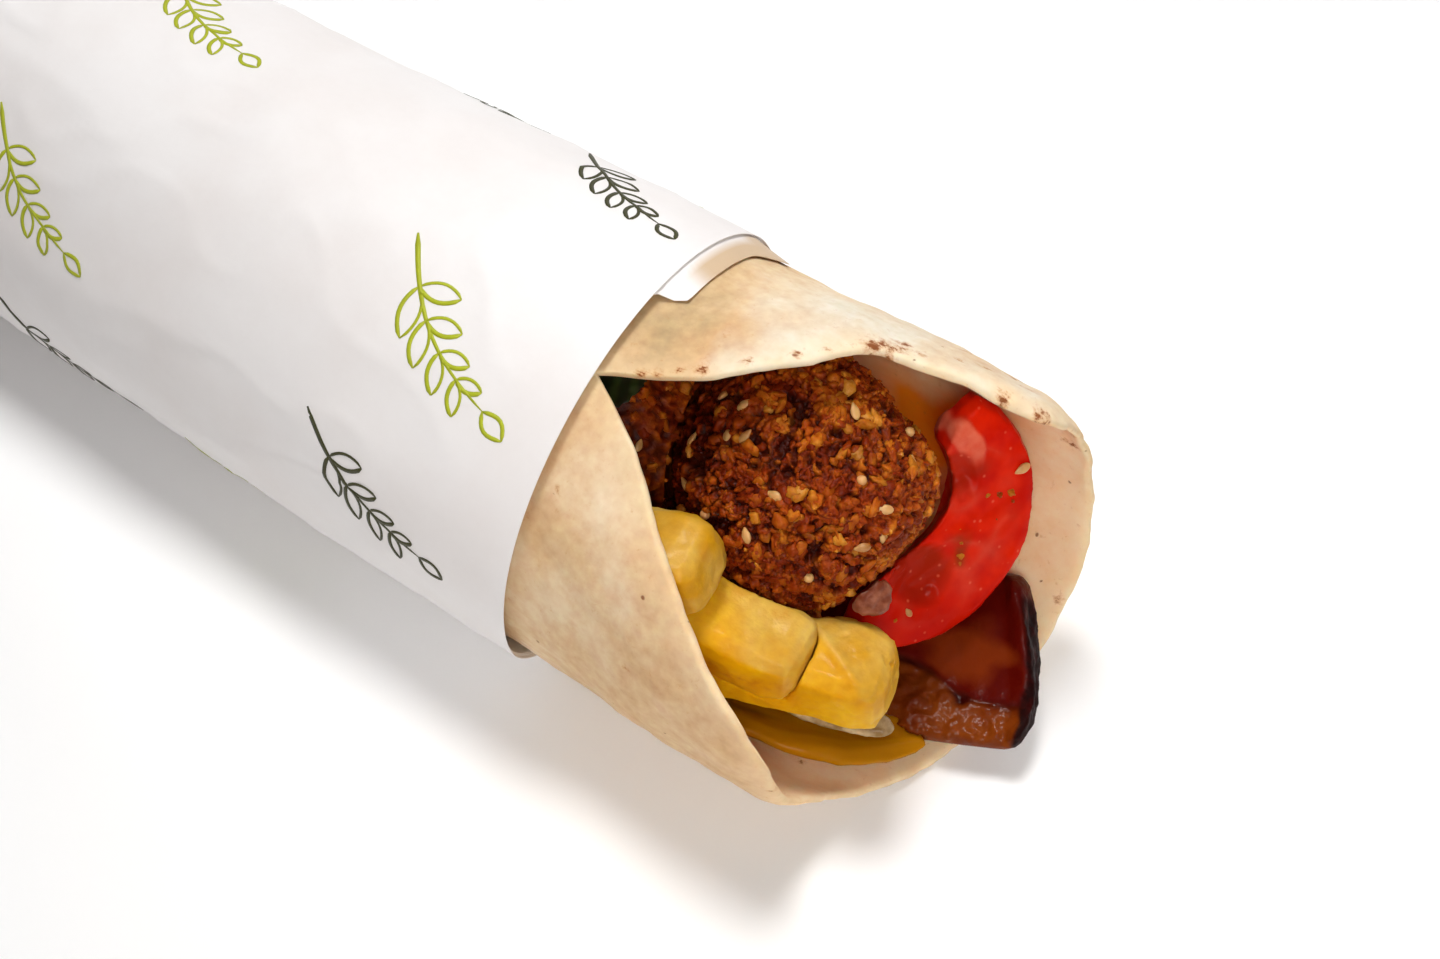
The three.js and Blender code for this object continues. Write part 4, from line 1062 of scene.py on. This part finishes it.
class WRAP_OT_falafel(bpy.types.Operator):
    """Make the two falafels, their loose crumbs and their seeds"""
    bl_idname = "wrap.falafel"
    bl_label = "Falafel"

    def execute(self, context):
        sizes, colours = context.scene.wrap_sizes, context.scene.wrap_colours
        for key, falafel in FALAFELS.items():
            core = self.make_core(key, falafel, sizes.falafel_radius / MM)
            finish_piece(core, falafel_material("fried_falafel_" + key, 0.3), ["falafel_" + key])
        draw = random.Random(sizes.seed)
        crumbs, tints, depths = [], [], []
        counts = {"front": sizes.crumbs_front, "back": sizes.crumbs_back}
        for key, falafel in FALAFELS.items():
            for direction in self.spread(counts[key], draw):
                height, crack, own = crust(direction, falafel["seed"])
                if crack > 0.8:
                    continue
                scale = sizes.crumb / MM * (0.32 + 0.9 * draw.random() ** 2.5)
                reach = ball_radius(direction, falafel["flats"], sizes.falafel_radius / MM)
                place = Vector(falafel["middle"]) + direction * (reach + height - 0.3 * scale)
                if not self.is_clear(place, key):
                    continue
                matrix = facing(direction, draw.uniform(0, 360), place)
                matrix = matrix @ Matrix.Rotation(draw.uniform(-0.9, 0.9), 4, "X") @ Matrix.Scale(scale, 4)
                # Small crumbs, and those on the side that the mouth hides, have fewer faces.
                coarse = scale < 0.42 or direction.dot(VIEW_SIDE) < 0
                crumbs.append((draw.randrange(CRUMB_KINDS) + CRUMB_KINDS * coarse, matrix))
                tints.append(min(max(own + draw.gauss(0, 0.17) + 0.16 * (scale - 0.4), 0), 1))
                # Painted shade: each crumb's darkness, from its crack and, on the falafel behind, from lying in shade.
                depths.append(min(0.6 * crack + (0.25 if key == "back" else 0), 1))
        shapes = [small_shape(fineness, partial(crumb_form, k)) for fineness in (2, 1) for k in range(CRUMB_KINDS)]
        piece = scatter("falafel_crumbs", shapes, crumbs, {"tint": tints, "depth": depths})
        finish_piece(piece, falafel_material("fried_crumb", 0.25))
        self.make_seeds(sizes, colours, draw)
        return {"FINISHED"}

    def make_core(self, key, falafel, radius):
        bm = bmesh.new()
        bmesh.ops.create_icosphere(bm, subdivisions=falafel["fineness"], radius=1)
        if key == "front":
            shown = {edge for face in bm.faces if face.normal.dot(VIEW_SIDE) > 0.17 for edge in face.edges}
            bmesh.ops.subdivide_edges(bm, edges=list(shown), cuts=1)
            bmesh.ops.triangulate(bm, faces=[face for face in bm.faces if len(face.verts) > 3])
        middle = Vector(falafel["middle"])
        front = Vector(FALAFELS["front"]["middle"])
        depths, tints = [], []
        for vert in bm.verts:
            direction = vert.co.normalized()
            height, crack, own = crust(direction, falafel["seed"])
            place = middle + direction * (ball_radius(direction, falafel["flats"], radius) + height)
            if key == "back":
                # The two press together, so the one behind is dented by the one in front.
                away = place - front
                place = front + away * max(1, (radius + 1.4) / away.length)
                # Painted shade: the falafel behind is darkened all over.
                crack = min(crack + 0.25, 1)
            vert.co = place * MM
            depths.append(crack)
            tints.append(own)
        piece = from_bmesh("falafel_" + key + "_crust", bm)
        write(piece.data, "depth", depths)
        write(piece.data, "tint", tints)
        return piece

    def spread(self, count, draw):
        """Directions spread evenly by the golden angle, each nudged."""
        for k in range(count):
            height = 1 - 2 * (k + 0.5) / count
            turn = k * GOLDEN_ANGLE
            flat = sqrt(1 - height * height)
            nudge = Vector([draw.uniform(-1, 1) for _ in range(3)]) * 1.6 / sqrt(count)
            yield (Vector((flat * cos(turn), flat * sin(turn), height)) + nudge).normalized()

    def is_clear(self, place, key):
        """Whether a place is clear of the bread's wall and of the other falafel."""
        ahead = place.x - MOUTH
        within = hypot(place.y, place.z - axis_z(ahead)) < radius_at(ahead) - BREAD_INSET - BREAD_CLEARANCE
        other = FALAFELS["back" if key == "front" else "front"]
        away = place - Vector(other["middle"])
        return within and away.length > ball_radius(away.normalized(), other["flats"], FALAFEL_RADIUS) + BALL_CLEARANCE

    def make_seeds(self, sizes, colours, draw):
        kinds = {"sesame": ([], []), "grit": ([], [])}

        def stick(kind, key, direction, turned, scale):
            falafel = FALAFELS[key]
            height, _, _ = crust(direction, falafel["seed"])
            reach = ball_radius(direction, falafel["flats"], sizes.falafel_radius / MM)
            place = Vector(falafel["middle"]) + direction * (reach + max(height, -0.6) + 0.12)
            if self.is_clear(place, key):
                tilt = Matrix.Rotation(draw.uniform(-0.35, 0.35), 4, "Y")
                kinds[kind][0].append((0, facing(direction, turned, place) @ tilt @ Matrix.Scale(scale, 4)))
                kinds[kind][1].append(draw.uniform(0.1, 1))

        long = sizes.sesame / MM
        for kind, direction, turned in SHOWN_SEEDS:
            stick(kind, "front", Vector(direction).normalized(), turned, long if kind == "sesame" else 0.75)
        for direction in self.spread(34, draw):
            if direction.dot(VIEW_SIDE) < 0.3:
                stick("sesame", "front", direction, draw.uniform(0, 360), long * draw.uniform(0.75, 1))
        for direction in self.spread(14, draw):
            stick("sesame", "back", direction, draw.uniform(0, 360), long * draw.uniform(0.75, 1))
        shapes = {"sesame": small_shape(3, sesame_form), "grit": small_shape(2, lambda p: p)}
        finishes = {
            "sesame": seed_material("toasted_sesame", colours.sesame, colours.sesame_dark),
            "grit": seed_material("cracked_coriander", colours.sesame, colours.grit),
        }
        for kind, (places, tints) in kinds.items():
            piece = scatter("falafel_" + kind, [shapes[kind]], places, {"tint": tints})
            finish_piece(piece, finishes[kind])


# The other fillings

TOMATO = axes_of((38.2, 12.6, 34.5), (0.58, 0.6, -0.55), (0.76, -0.46, 0.46))
TOMATO_RADIUS = 19.2
TOMATO_STRETCH = 1.06
TOMATO_HALF = 2.8
TOMATO_POCKETS = [(2.3, 9, 3.8), (3.8, -7, 5.6)]  # the middle and radius of each, on the slice's face
FRIES = {
    "top": {"size": (30, 12.2), "end": (26.4, -19.6, 47.8), "along": (0.93, 0.16, 0.33)},
    "middle": {"size": (33, 12.2), "end": (40.2, -16, 33), "along": (0.97, 0.2, -0.16)},
    "low": {"size": (34, 13), "end": (50.5, -9.6, 29), "along": (0.95, 0.3, 0.06)},
}
# Where two slices lie on the bread's inside: how far ahead and round, their yaw, lift and rise
PICKLE = (33, -110.5, 25, 0.2, 0.02)
AUBERGINE = (44, -70.5, 28, 0.4, 0.02)
HERB = axes_of((-3.5, -7.5, 57.4), (0.75, 0.5, -0.2), (0.3, -0.2, 0.9))


class WRAP_OT_tomato(bpy.types.Operator):
    """Make the cut slice of tomato, with its ribs, seed pockets and the bits stuck to it"""
    bl_idname = "wrap.tomato"
    bl_label = "Tomato slice"

    def execute(self, context):
        colours = context.scene.wrap_colours
        piece = filling_from("tomato_slice", "tomato_cut_slice")
        own_axes = TOMATO.inverted()

        def own(p):
            return own_axes @ Vector(p)

        def near(q, x, y, size):
            return exp(-((q.x - x) ** 2 + (q.y - y) ** 2) / size ** 2)

        def outward(q):
            return hypot(q.x, q.y / TOMATO_STRETCH) / TOMATO_RADIUS

        def pocket(p, n):
            q = own(p)
            q.x += 0.6 * wander(p, 4, 5)
            q.y += 0.6 * wander(p, 4, 6)
            # The low pocket is gel; the high pocket and the spot beside it, under the rib, are painted shade.
            (high, low) = [1 - ramp(hypot(q.x - x, q.y - y) / size, 0.6, 1.05) for x, y, size in TOMATO_POCKETS]
            return max(0.7 * high, low, 0.8 * near(q, 5.2, 10.6, 1.8)) * ramp(q.z, -0.5, 0.6)

        def rind(p, n):
            q = own(p)
            low = 0.6 * ramp(-q.y + 1.5 * wander(p, 5, 15), 2, 14)
            return max(ramp(outward(q), 0.93, 0.99) * (0.4 + 0.6 * (1 - ramp(q.z, 0.2, 1.6))), low)

        def rib(p, n):
            q = own(p)
            x, y = q.x - 2.0, q.y - 13.6
            away = hypot((0.81 * x - 0.59 * y) / 4.8, (0.59 * x + 0.81 * y) / 2.5)
            top = 1 - ramp(away + 0.15 * wander(p, 2.5, 13), 0.75, 1.0)
            vein = (1 - abs(wander(p, 6, 3))) ** 5
            out = outward(q)
            return min(top + 0.25 * vein * ramp(out, 0.1, 0.4) * (1 - ramp(out, 0.7, 0.9)), 1) * (1 - pocket(p, n))

        def green(p, n):
            q = own(p)
            spots = near(q, 7.8, -0.2, 1.2) + near(q, 9.0, -3.2, 1.1) + near(q, 8.4, -1.8, 0.8)
            return min(0.6 * spots * (1 + 0.6 * wander(p, 1.5, 7)), 0.7)

        def relief(p, n):
            wet = 0.13 * wander(p, 4, 2) + 0.07 * wander(p, 1.5, 4)
            lumps = 0.4 * max(wander(p, 2.2, 9), 0) * pocket(p, n)
            return wet + lumps + rib(p, n) * (0.35 + 0.25 * wander(p, 3.2, 11))

        note(piece, pocket=pocket, rind=rind, rib=rib, green=green)
        carve(piece, relief)
        finish_piece(piece, tomato_material(colours), ["tomato_slice"])
        self.make_bits(context)
        return {"FINISHED"}

    def make_bits(self, context):
        """Seeds and crumbs that came off the falafel and stuck to the wet face."""
        colours = context.scene.wrap_colours
        out = TOMATO.to_3x3() @ Vector((0, 0, 1))

        def on_face(x, y, scale, turned, lift=0.15):
            place = TOMATO @ Vector((x, y, TOMATO_HALF + lift))
            return facing(out, turned, place) @ Matrix.Scale(scale, 4)

        seeds = [(0, on_face(12.2, 12.5, 2.7, 100)), (0, on_face(4.5, -12.8, 1.7, 20))]
        piece = scatter("tomato_sesame", [small_shape(3, sesame_form)], seeds, {"tint": [0.5, 0.9]})
        finish_piece(piece, seed_material("stuck_sesame", colours.sesame, colours.sesame_dark))
        bits = (
            (12.4, 8.7, 0.6, 0.8), (10.6, 7.8, 0.5, 0.6), (8.7, 7.2, 0.4, 0.9), (13.2, 7.4, 0.35, 0.5),
            (7.9, -0.6, 0.5, 0.83), (8.8, -2.6, 0.6, 0.9), (9.3, -3.6, 0.4, 0.85), (11.9, 4.2, 0.3, 0.6),
            (6.8, 1.2, 0.3, 0.85), (3.0, -14.5, 0.35, 0.7),
        )
        places = [(k % 3, on_face(x, y, scale, 50 * k, -0.1)) for k, (x, y, scale, _) in enumerate(bits)]
        shapes = [small_shape(2, partial(crumb_form, k)) for k in range(3)]
        # The stuck crumbs get a little painted shade.
        piece = scatter("tomato_crumbs", shapes, places, {"tint": [bit[3] for bit in bits], "depth": [0.1] * len(bits)})
        finish_piece(piece, falafel_material("stuck_crumb", 0.15), sharp=40)


class WRAP_OT_fries(bpy.types.Operator):
    """Make the three thick-cut fries"""
    bl_idname = "wrap.fries"
    bl_label = "Fries"

    def execute(self, context):
        material = potato_material(context.scene.wrap_colours)
        for key, fry in FRIES.items():
            long, wide = fry["size"]
            along = Vector(fry["along"]).normalized()
            middle = Vector(fry["end"]) - along * long / 2
            axes = axes_of(middle, along, (0, 0, 1))
            own_axes, up = axes.inverted(), axes.to_3x3().col[2]
            piece = filling_from("fry_" + key, "fry_" + key + "_golden")

            def cut(q):
                """Millimetres past the low fry's slanting ridge, on its cut face."""
                return ((q.x - 7.2) * 5.6 + (q.y - 0.4) * 6.8) / 8.8 if key == "low" else 0

            def relief(p, n, seed=len(key)):
                q = own_axes @ Vector(p)
                dents = 0.28 * wander(p, 6.5, seed) + 0.12 * wander(p, 2.3, seed + 1)
                top = ramp(n[2], 0.3, 0.8)
                pits = ramp(wander(p, 1.6, seed + 3), 0.5, 0.9) * ramp(cut(q), 0, 1.5)
                ridge = exp(-(cut(q) / 0.9) ** 2) if key == "low" else 0
                return 0.1 + dents + 0.4 * ridge * top - 0.4 * pits

            # How pale the fry is: its cut end and the low fry's cut face, and, as painted light, its faces turned up.
            def pale(p, n):
                q = own_axes @ Vector(p)
                normal = Vector(n)
                top = ramp(normal.dot(up) + 0.12 * wander(p, 6, 4), 0.25, 0.75)
                end = ramp(q.x, long / 2 - 3, long / 2 - 0.8)
                if key == "low":
                    top *= 0.25 + 0.75 * ramp(cut(q), -0.9, 0.3)
                if key == "middle":
                    top *= 0.15 + 0.65 * ramp(q.x + 0.6 * q.y, 1, 8)
                # The top fry is painted paler all over.
                if key == "top":
                    top = 0.45 + 0.55 * top
                return min(top + 0.5 * end, 1)

            def crisp(p, n):
                q = own_axes @ Vector(p)
                low_edge = exp(-((q.z + 0.5) / 1.6) ** 2 - ((q.y + wide / 2) / 2.5) ** 2) if key == "middle" else 0
                return min(0.9 * low_edge + ramp(wander(p, 5, 9), 0.55, 0.9) * 0.5, 1)

            note(piece, pale=pale, crisp=crisp)
            carve(piece, relief)
            finish_piece(piece, material, ["fry_" + key])
        return {"FINISHED"}


def along_bread(p, ahead, angle, yaw, lift, rise):
    """Where a point lies in the own axes of a piece that was laid on the bread's inside."""
    x = p[0] - MOUTH - ahead
    inner = radius_at(p[0] - MOUTH) - BREAD_INSET - BREAD_WALL - LAID_DEPTH - lift - rise * x
    height = p[2] - axis_z(p[0] - MOUTH)
    turn = (atan2(height, p[1]) - radians(angle) + pi) % tau - pi
    flat = Matrix.Rotation(radians(-yaw), 2) @ Vector((x, turn * inner))
    return Vector((flat.x, flat.y, inner - hypot(p[1], height)))


class WRAP_OT_pickle(bpy.types.Operator):
    """Make the pickled cucumber slice"""
    bl_idname = "wrap.pickle"
    bl_label = "Pickle slice"

    def execute(self, context):
        piece = filling_from("pickle_slice", "pickle_long_slice", 0.4, 3)
        carve(piece, lambda p, n: 0.2 * wander(p, 6, 2) + 0.05 * wander(p, 1.8, 3))

        def own(p, n):
            return along_bread(p, *PICKLE)

        def ridge(p, n):
            """Painted light: 0 over the slice's long ridge, 1 on it and a little less under it."""
            q = own(p, n)
            under = -8.1 + 0.2 * q.x + 0.012 * q.x ** 2 - q.y
            return 0.7 * ramp(under, -0.3, 0.6) + 0.3 * exp(-((under - 0.2) / 0.6) ** 2)

        note(piece, own=own, ridge=ridge)
        finish_piece(piece, pickle_material(context.scene.wrap_colours), ["pickle_slice"])
        return {"FINISHED"}


class WRAP_OT_aubergine(bpy.types.Operator):
    """Make the fried aubergine slice, with its fold, blisters and charred skin"""
    bl_idname = "wrap.aubergine"
    bl_label = "Aubergine slice"

    def execute(self, context):
        piece = filling_from("aubergine_slice", "aubergine_fried_slice")

        def own(p):
            return along_bread(p, *AUBERGINE)

        def past_crease(q):
            """Millimetres over the crease, which runs down across the slice and then along it."""
            line = np.interp(q.x, [-8, -1.4, 2, 6.5, 10.3, 16], [-0.6, -2.0, -3.3, -7.4, -7.7, -8.1])
            return q.y - float(line)

        def char(p, n):
            q = own(p)
            border = 17.1 - 0.2 * max(0, -q.y - 1.5)
            return ramp(q.x + 0.3 * wander(p, 2.5, 4), border - 0.4, border + 0.3)

        def low(p, n):
            return 1 - ramp(past_crease(own(p)), -0.6, 0.6)

        def field(p, n):
            """The lighter part of the upper side, brightest at its middle."""
            q = own(p)
            away = hypot((q.x - 7) / 8.6, (q.y - 0.4 - 0.25 * (q.x - 7)) / 6.4)
            return (1 - ramp(away + 0.3 * wander(p, 4, 8), 0.3, 1.2)) * ramp(past_crease(q), 0.2, 2.0)

        # Painted shade in the crease and its pit, which the relief also cuts in.
        def crease(p, n):
            q = own(p)
            pit = exp(-((q.x - 6.5) ** 2 + (q.y + 7.6) ** 2) / 1.2)
            return min(0.9 * exp(-(past_crease(q) / 0.7) ** 2) * (0.7 + 0.4 * wander(p, 4, 6)) + pit, 1)

        def relief(p, n):
            q = own(p)
            upper = ramp(q.z, 1.5, 3)
            blisters = max(wander(p, 2.3, 2), 0) * 0.55 + 0.15 * wander(p, 1.1, 3)
            smooth = 0.2 * wander(p, 5, 5)
            burnt, strip = char(p, n), low(p, n)
            skin_fold = burnt * (0.22 * wander((q.x, q.y * 0.5, q.z), 2.0, 7) + 0.1 * wander(p, 1.0, 8))
            flesh = strip * blisters + (1 - strip) * smooth - 0.5 * crease(p, n)
            return upper * flesh * (1 - burnt) + skin_fold

        note(piece, char=char, low=low, field=field, crease=crease)
        carve(piece, relief)
        finish_piece(piece, aubergine_material(context.scene.wrap_colours), ["aubergine_slice"])
        return {"FINISHED"}


class WRAP_OT_garnish(bpy.types.Operator):
    """Make the two pieces of onion and the herb leaf"""
    bl_idname = "wrap.garnish"
    bl_label = "Onion and herb"

    def execute(self, context):
        colours = context.scene.wrap_colours
        strip = onion_material("pale_onion", colours.onion, colours.onion_dark)
        chunk = onion_material("stained_onion", colours.onion_stained, colours.onion_brown)
        for node, name, depth, onion in (("onion_strip", "onion_soft_strip", 0.1, strip),
                                         ("onion_chunk", "onion_soft_chunk", 0.3, chunk)):
            piece = filling_from(node, name, 0.25)
            carve(piece, lambda p, n: depth * wander(p, 2, 2) + 0.4 * depth * wander(p, 0.8, 3))
            finish_piece(piece, onion, [node])
        leaf = filling_from("herb_leaf", "herb_wilted_leaf", 0.25, 1)
        own_axes = HERB.inverted()
        carve(leaf, lambda p, n: 0.15 * wander(p, 1.8, 2))
        note(leaf, own=lambda p, n: own_axes @ Vector(p))
        finish_piece(leaf, herb_material(colours), ["herb_leaf"])
        return {"FINISHED"}


# The stage

TABLE_REACH = 6  # metres from the wrap, past all that the camera sees
AIM = Vector((0.068, 0, 0.03))  # the point in the mouth that every lamp faces
# Each lamp's place and size in metres, its watts, how many degrees it spreads, and its colour
LAMPS = [
    ("key_above", (-0.14, 0.1, 1.13), 0.36, 8.8, 180, (1.0, 0.995, 0.99)),
    ("window_behind", (-0.1, 1.2, 0.7), 1.2, 6.2, 180, (1.0, 1.0, 1.0)),
    ("fill_front", (0.27, -0.27, 0.42), 0.14, 0.031, 38, (1.0, 0.97, 0.95)),
    ("lamp_mouth", (0.28, -0.2, 0.24), 0.16, 0.034, 44, (1.0, 0.97, 0.94)),
]


class WRAP_OT_stage(bpy.types.Operator):
    """Make the floor, the lights and the camera"""
    bl_idname = "wrap.stage"
    bl_label = "Stage"

    def execute(self, context):
        scene = context.scene
        bm = bmesh.new()
        bmesh.ops.create_grid(bm, x_segments=1, y_segments=1, size=TABLE_REACH)
        table = from_bmesh("table_top", bm)
        material = new_material("matt_white_table")[0]
        table.data.materials.append(surface(material, scene.wrap_colours.table, [], 0.9, specular=0.1))

        world = bpy.data.worlds.new("Studio")
        scene.world = world
        world.use_nodes = True
        tree = world.node_tree
        tree.nodes.clear()
        direction = add(tree, "TexCoord").outputs["Generated"]
        height = add(tree, "SeparateXYZ", {"Vector": direction})
        sky = stops(add(tree, "ValToRGB", {"Fac": height.outputs["Z"]}), [(0.0, "#c4a298"), (0.55, "#ffffff")])
        background = add(tree, "Background", {"Color": sky, "Strength": 0.19})
        add(tree, "OutputWorld", {"Surface": background})

        for lamp in LAMPS:
            self.add_light(*lamp)
        self.add_camera(scene)
        scene.view_settings.view_transform = "Standard"
        scene.view_settings.look = "None"
        return {"FINISHED"}

    def add_light(self, name, place, size, power, spread, colour_rgb):
        data = bpy.data.lights.new(name, "AREA")
        data.shape = "DISK"
        data.size = size
        data.energy = power
        data.spread = radians(spread)
        data.color = colour_rgb
        light = bpy.data.objects.new(name, data)
        light.location = place
        light.rotation_euler = (AIM - Vector(place)).to_track_quat("-Z", "Y").to_euler()
        bpy.context.scene.collection.objects.link(light)

    def add_camera(self, scene):
        """A 65 mm lens that looks down at 52 degrees, 37 degrees round from the roll's side."""
        turn, tilt, distance = radians(36.73), radians(52.0), 0.374
        target = Vector((0.05139, 0, 0.0376))
        back = Vector((sin(turn) * cos(tilt), -cos(turn) * cos(tilt), sin(tilt)))
        right = Vector((cos(turn), sin(turn), 0))
        up = back.cross(right)
        data = bpy.data.cameras.new("camera")
        data.lens = 65
        data.sensor_width = 36
        data.sensor_fit = "HORIZONTAL"
        data.clip_start = 0.01
        camera = bpy.data.objects.new("camera", data)
        camera.matrix_world = (Matrix.Translation(target + back * distance)
                               @ Matrix((right, up, back)).transposed().to_4x4())
        scene.collection.objects.link(camera)
        scene.camera = camera


OPERATORS = (
    WRAP_OT_stage, WRAP_OT_sleeve, WRAP_OT_bread, WRAP_OT_falafel, WRAP_OT_tomato, WRAP_OT_fries,
    WRAP_OT_pickle, WRAP_OT_aubergine, WRAP_OT_garnish,
)


class WRAP_PT_panel(bpy.types.Panel):
    """The wrap's pieces and settings"""
    bl_idname = "WRAP_PT_panel"
    bl_label = "Falafel wrap"
    bl_space_type = "VIEW_3D"
    bl_region_type = "UI"
    bl_category = "Wrap"

    def draw(self, context):
        for operator in OPERATORS:
            self.layout.operator(operator.bl_idname)
        for group in (context.scene.wrap_sizes, context.scene.wrap_colours):
            for key in group.bl_rna.properties.keys():
                if key not in ("rna_type", "name"):
                    self.layout.prop(group, key)


CLASSES = (WrapSizes, WrapColours) + OPERATORS + (WRAP_PT_panel,)


def register():
    for cls in CLASSES:
        bpy.utils.register_class(cls)
    bpy.types.Scene.wrap_sizes = bpy.props.PointerProperty(type=WrapSizes)
    bpy.types.Scene.wrap_colours = bpy.props.PointerProperty(type=WrapColours)


def unregister():
    del bpy.types.Scene.wrap_colours
    del bpy.types.Scene.wrap_sizes
    for cls in reversed(CLASSES):
        bpy.utils.unregister_class(cls)


def main():
    register()
    bpy.ops.wrap.stage()
    bpy.ops.wrap.sleeve()
    bpy.ops.wrap.bread()
    bpy.ops.wrap.falafel()
    bpy.ops.wrap.tomato()
    bpy.ops.wrap.fries()
    bpy.ops.wrap.pickle()
    bpy.ops.wrap.aubergine()
    bpy.ops.wrap.garnish()


if __name__ == "__main__":
    main()
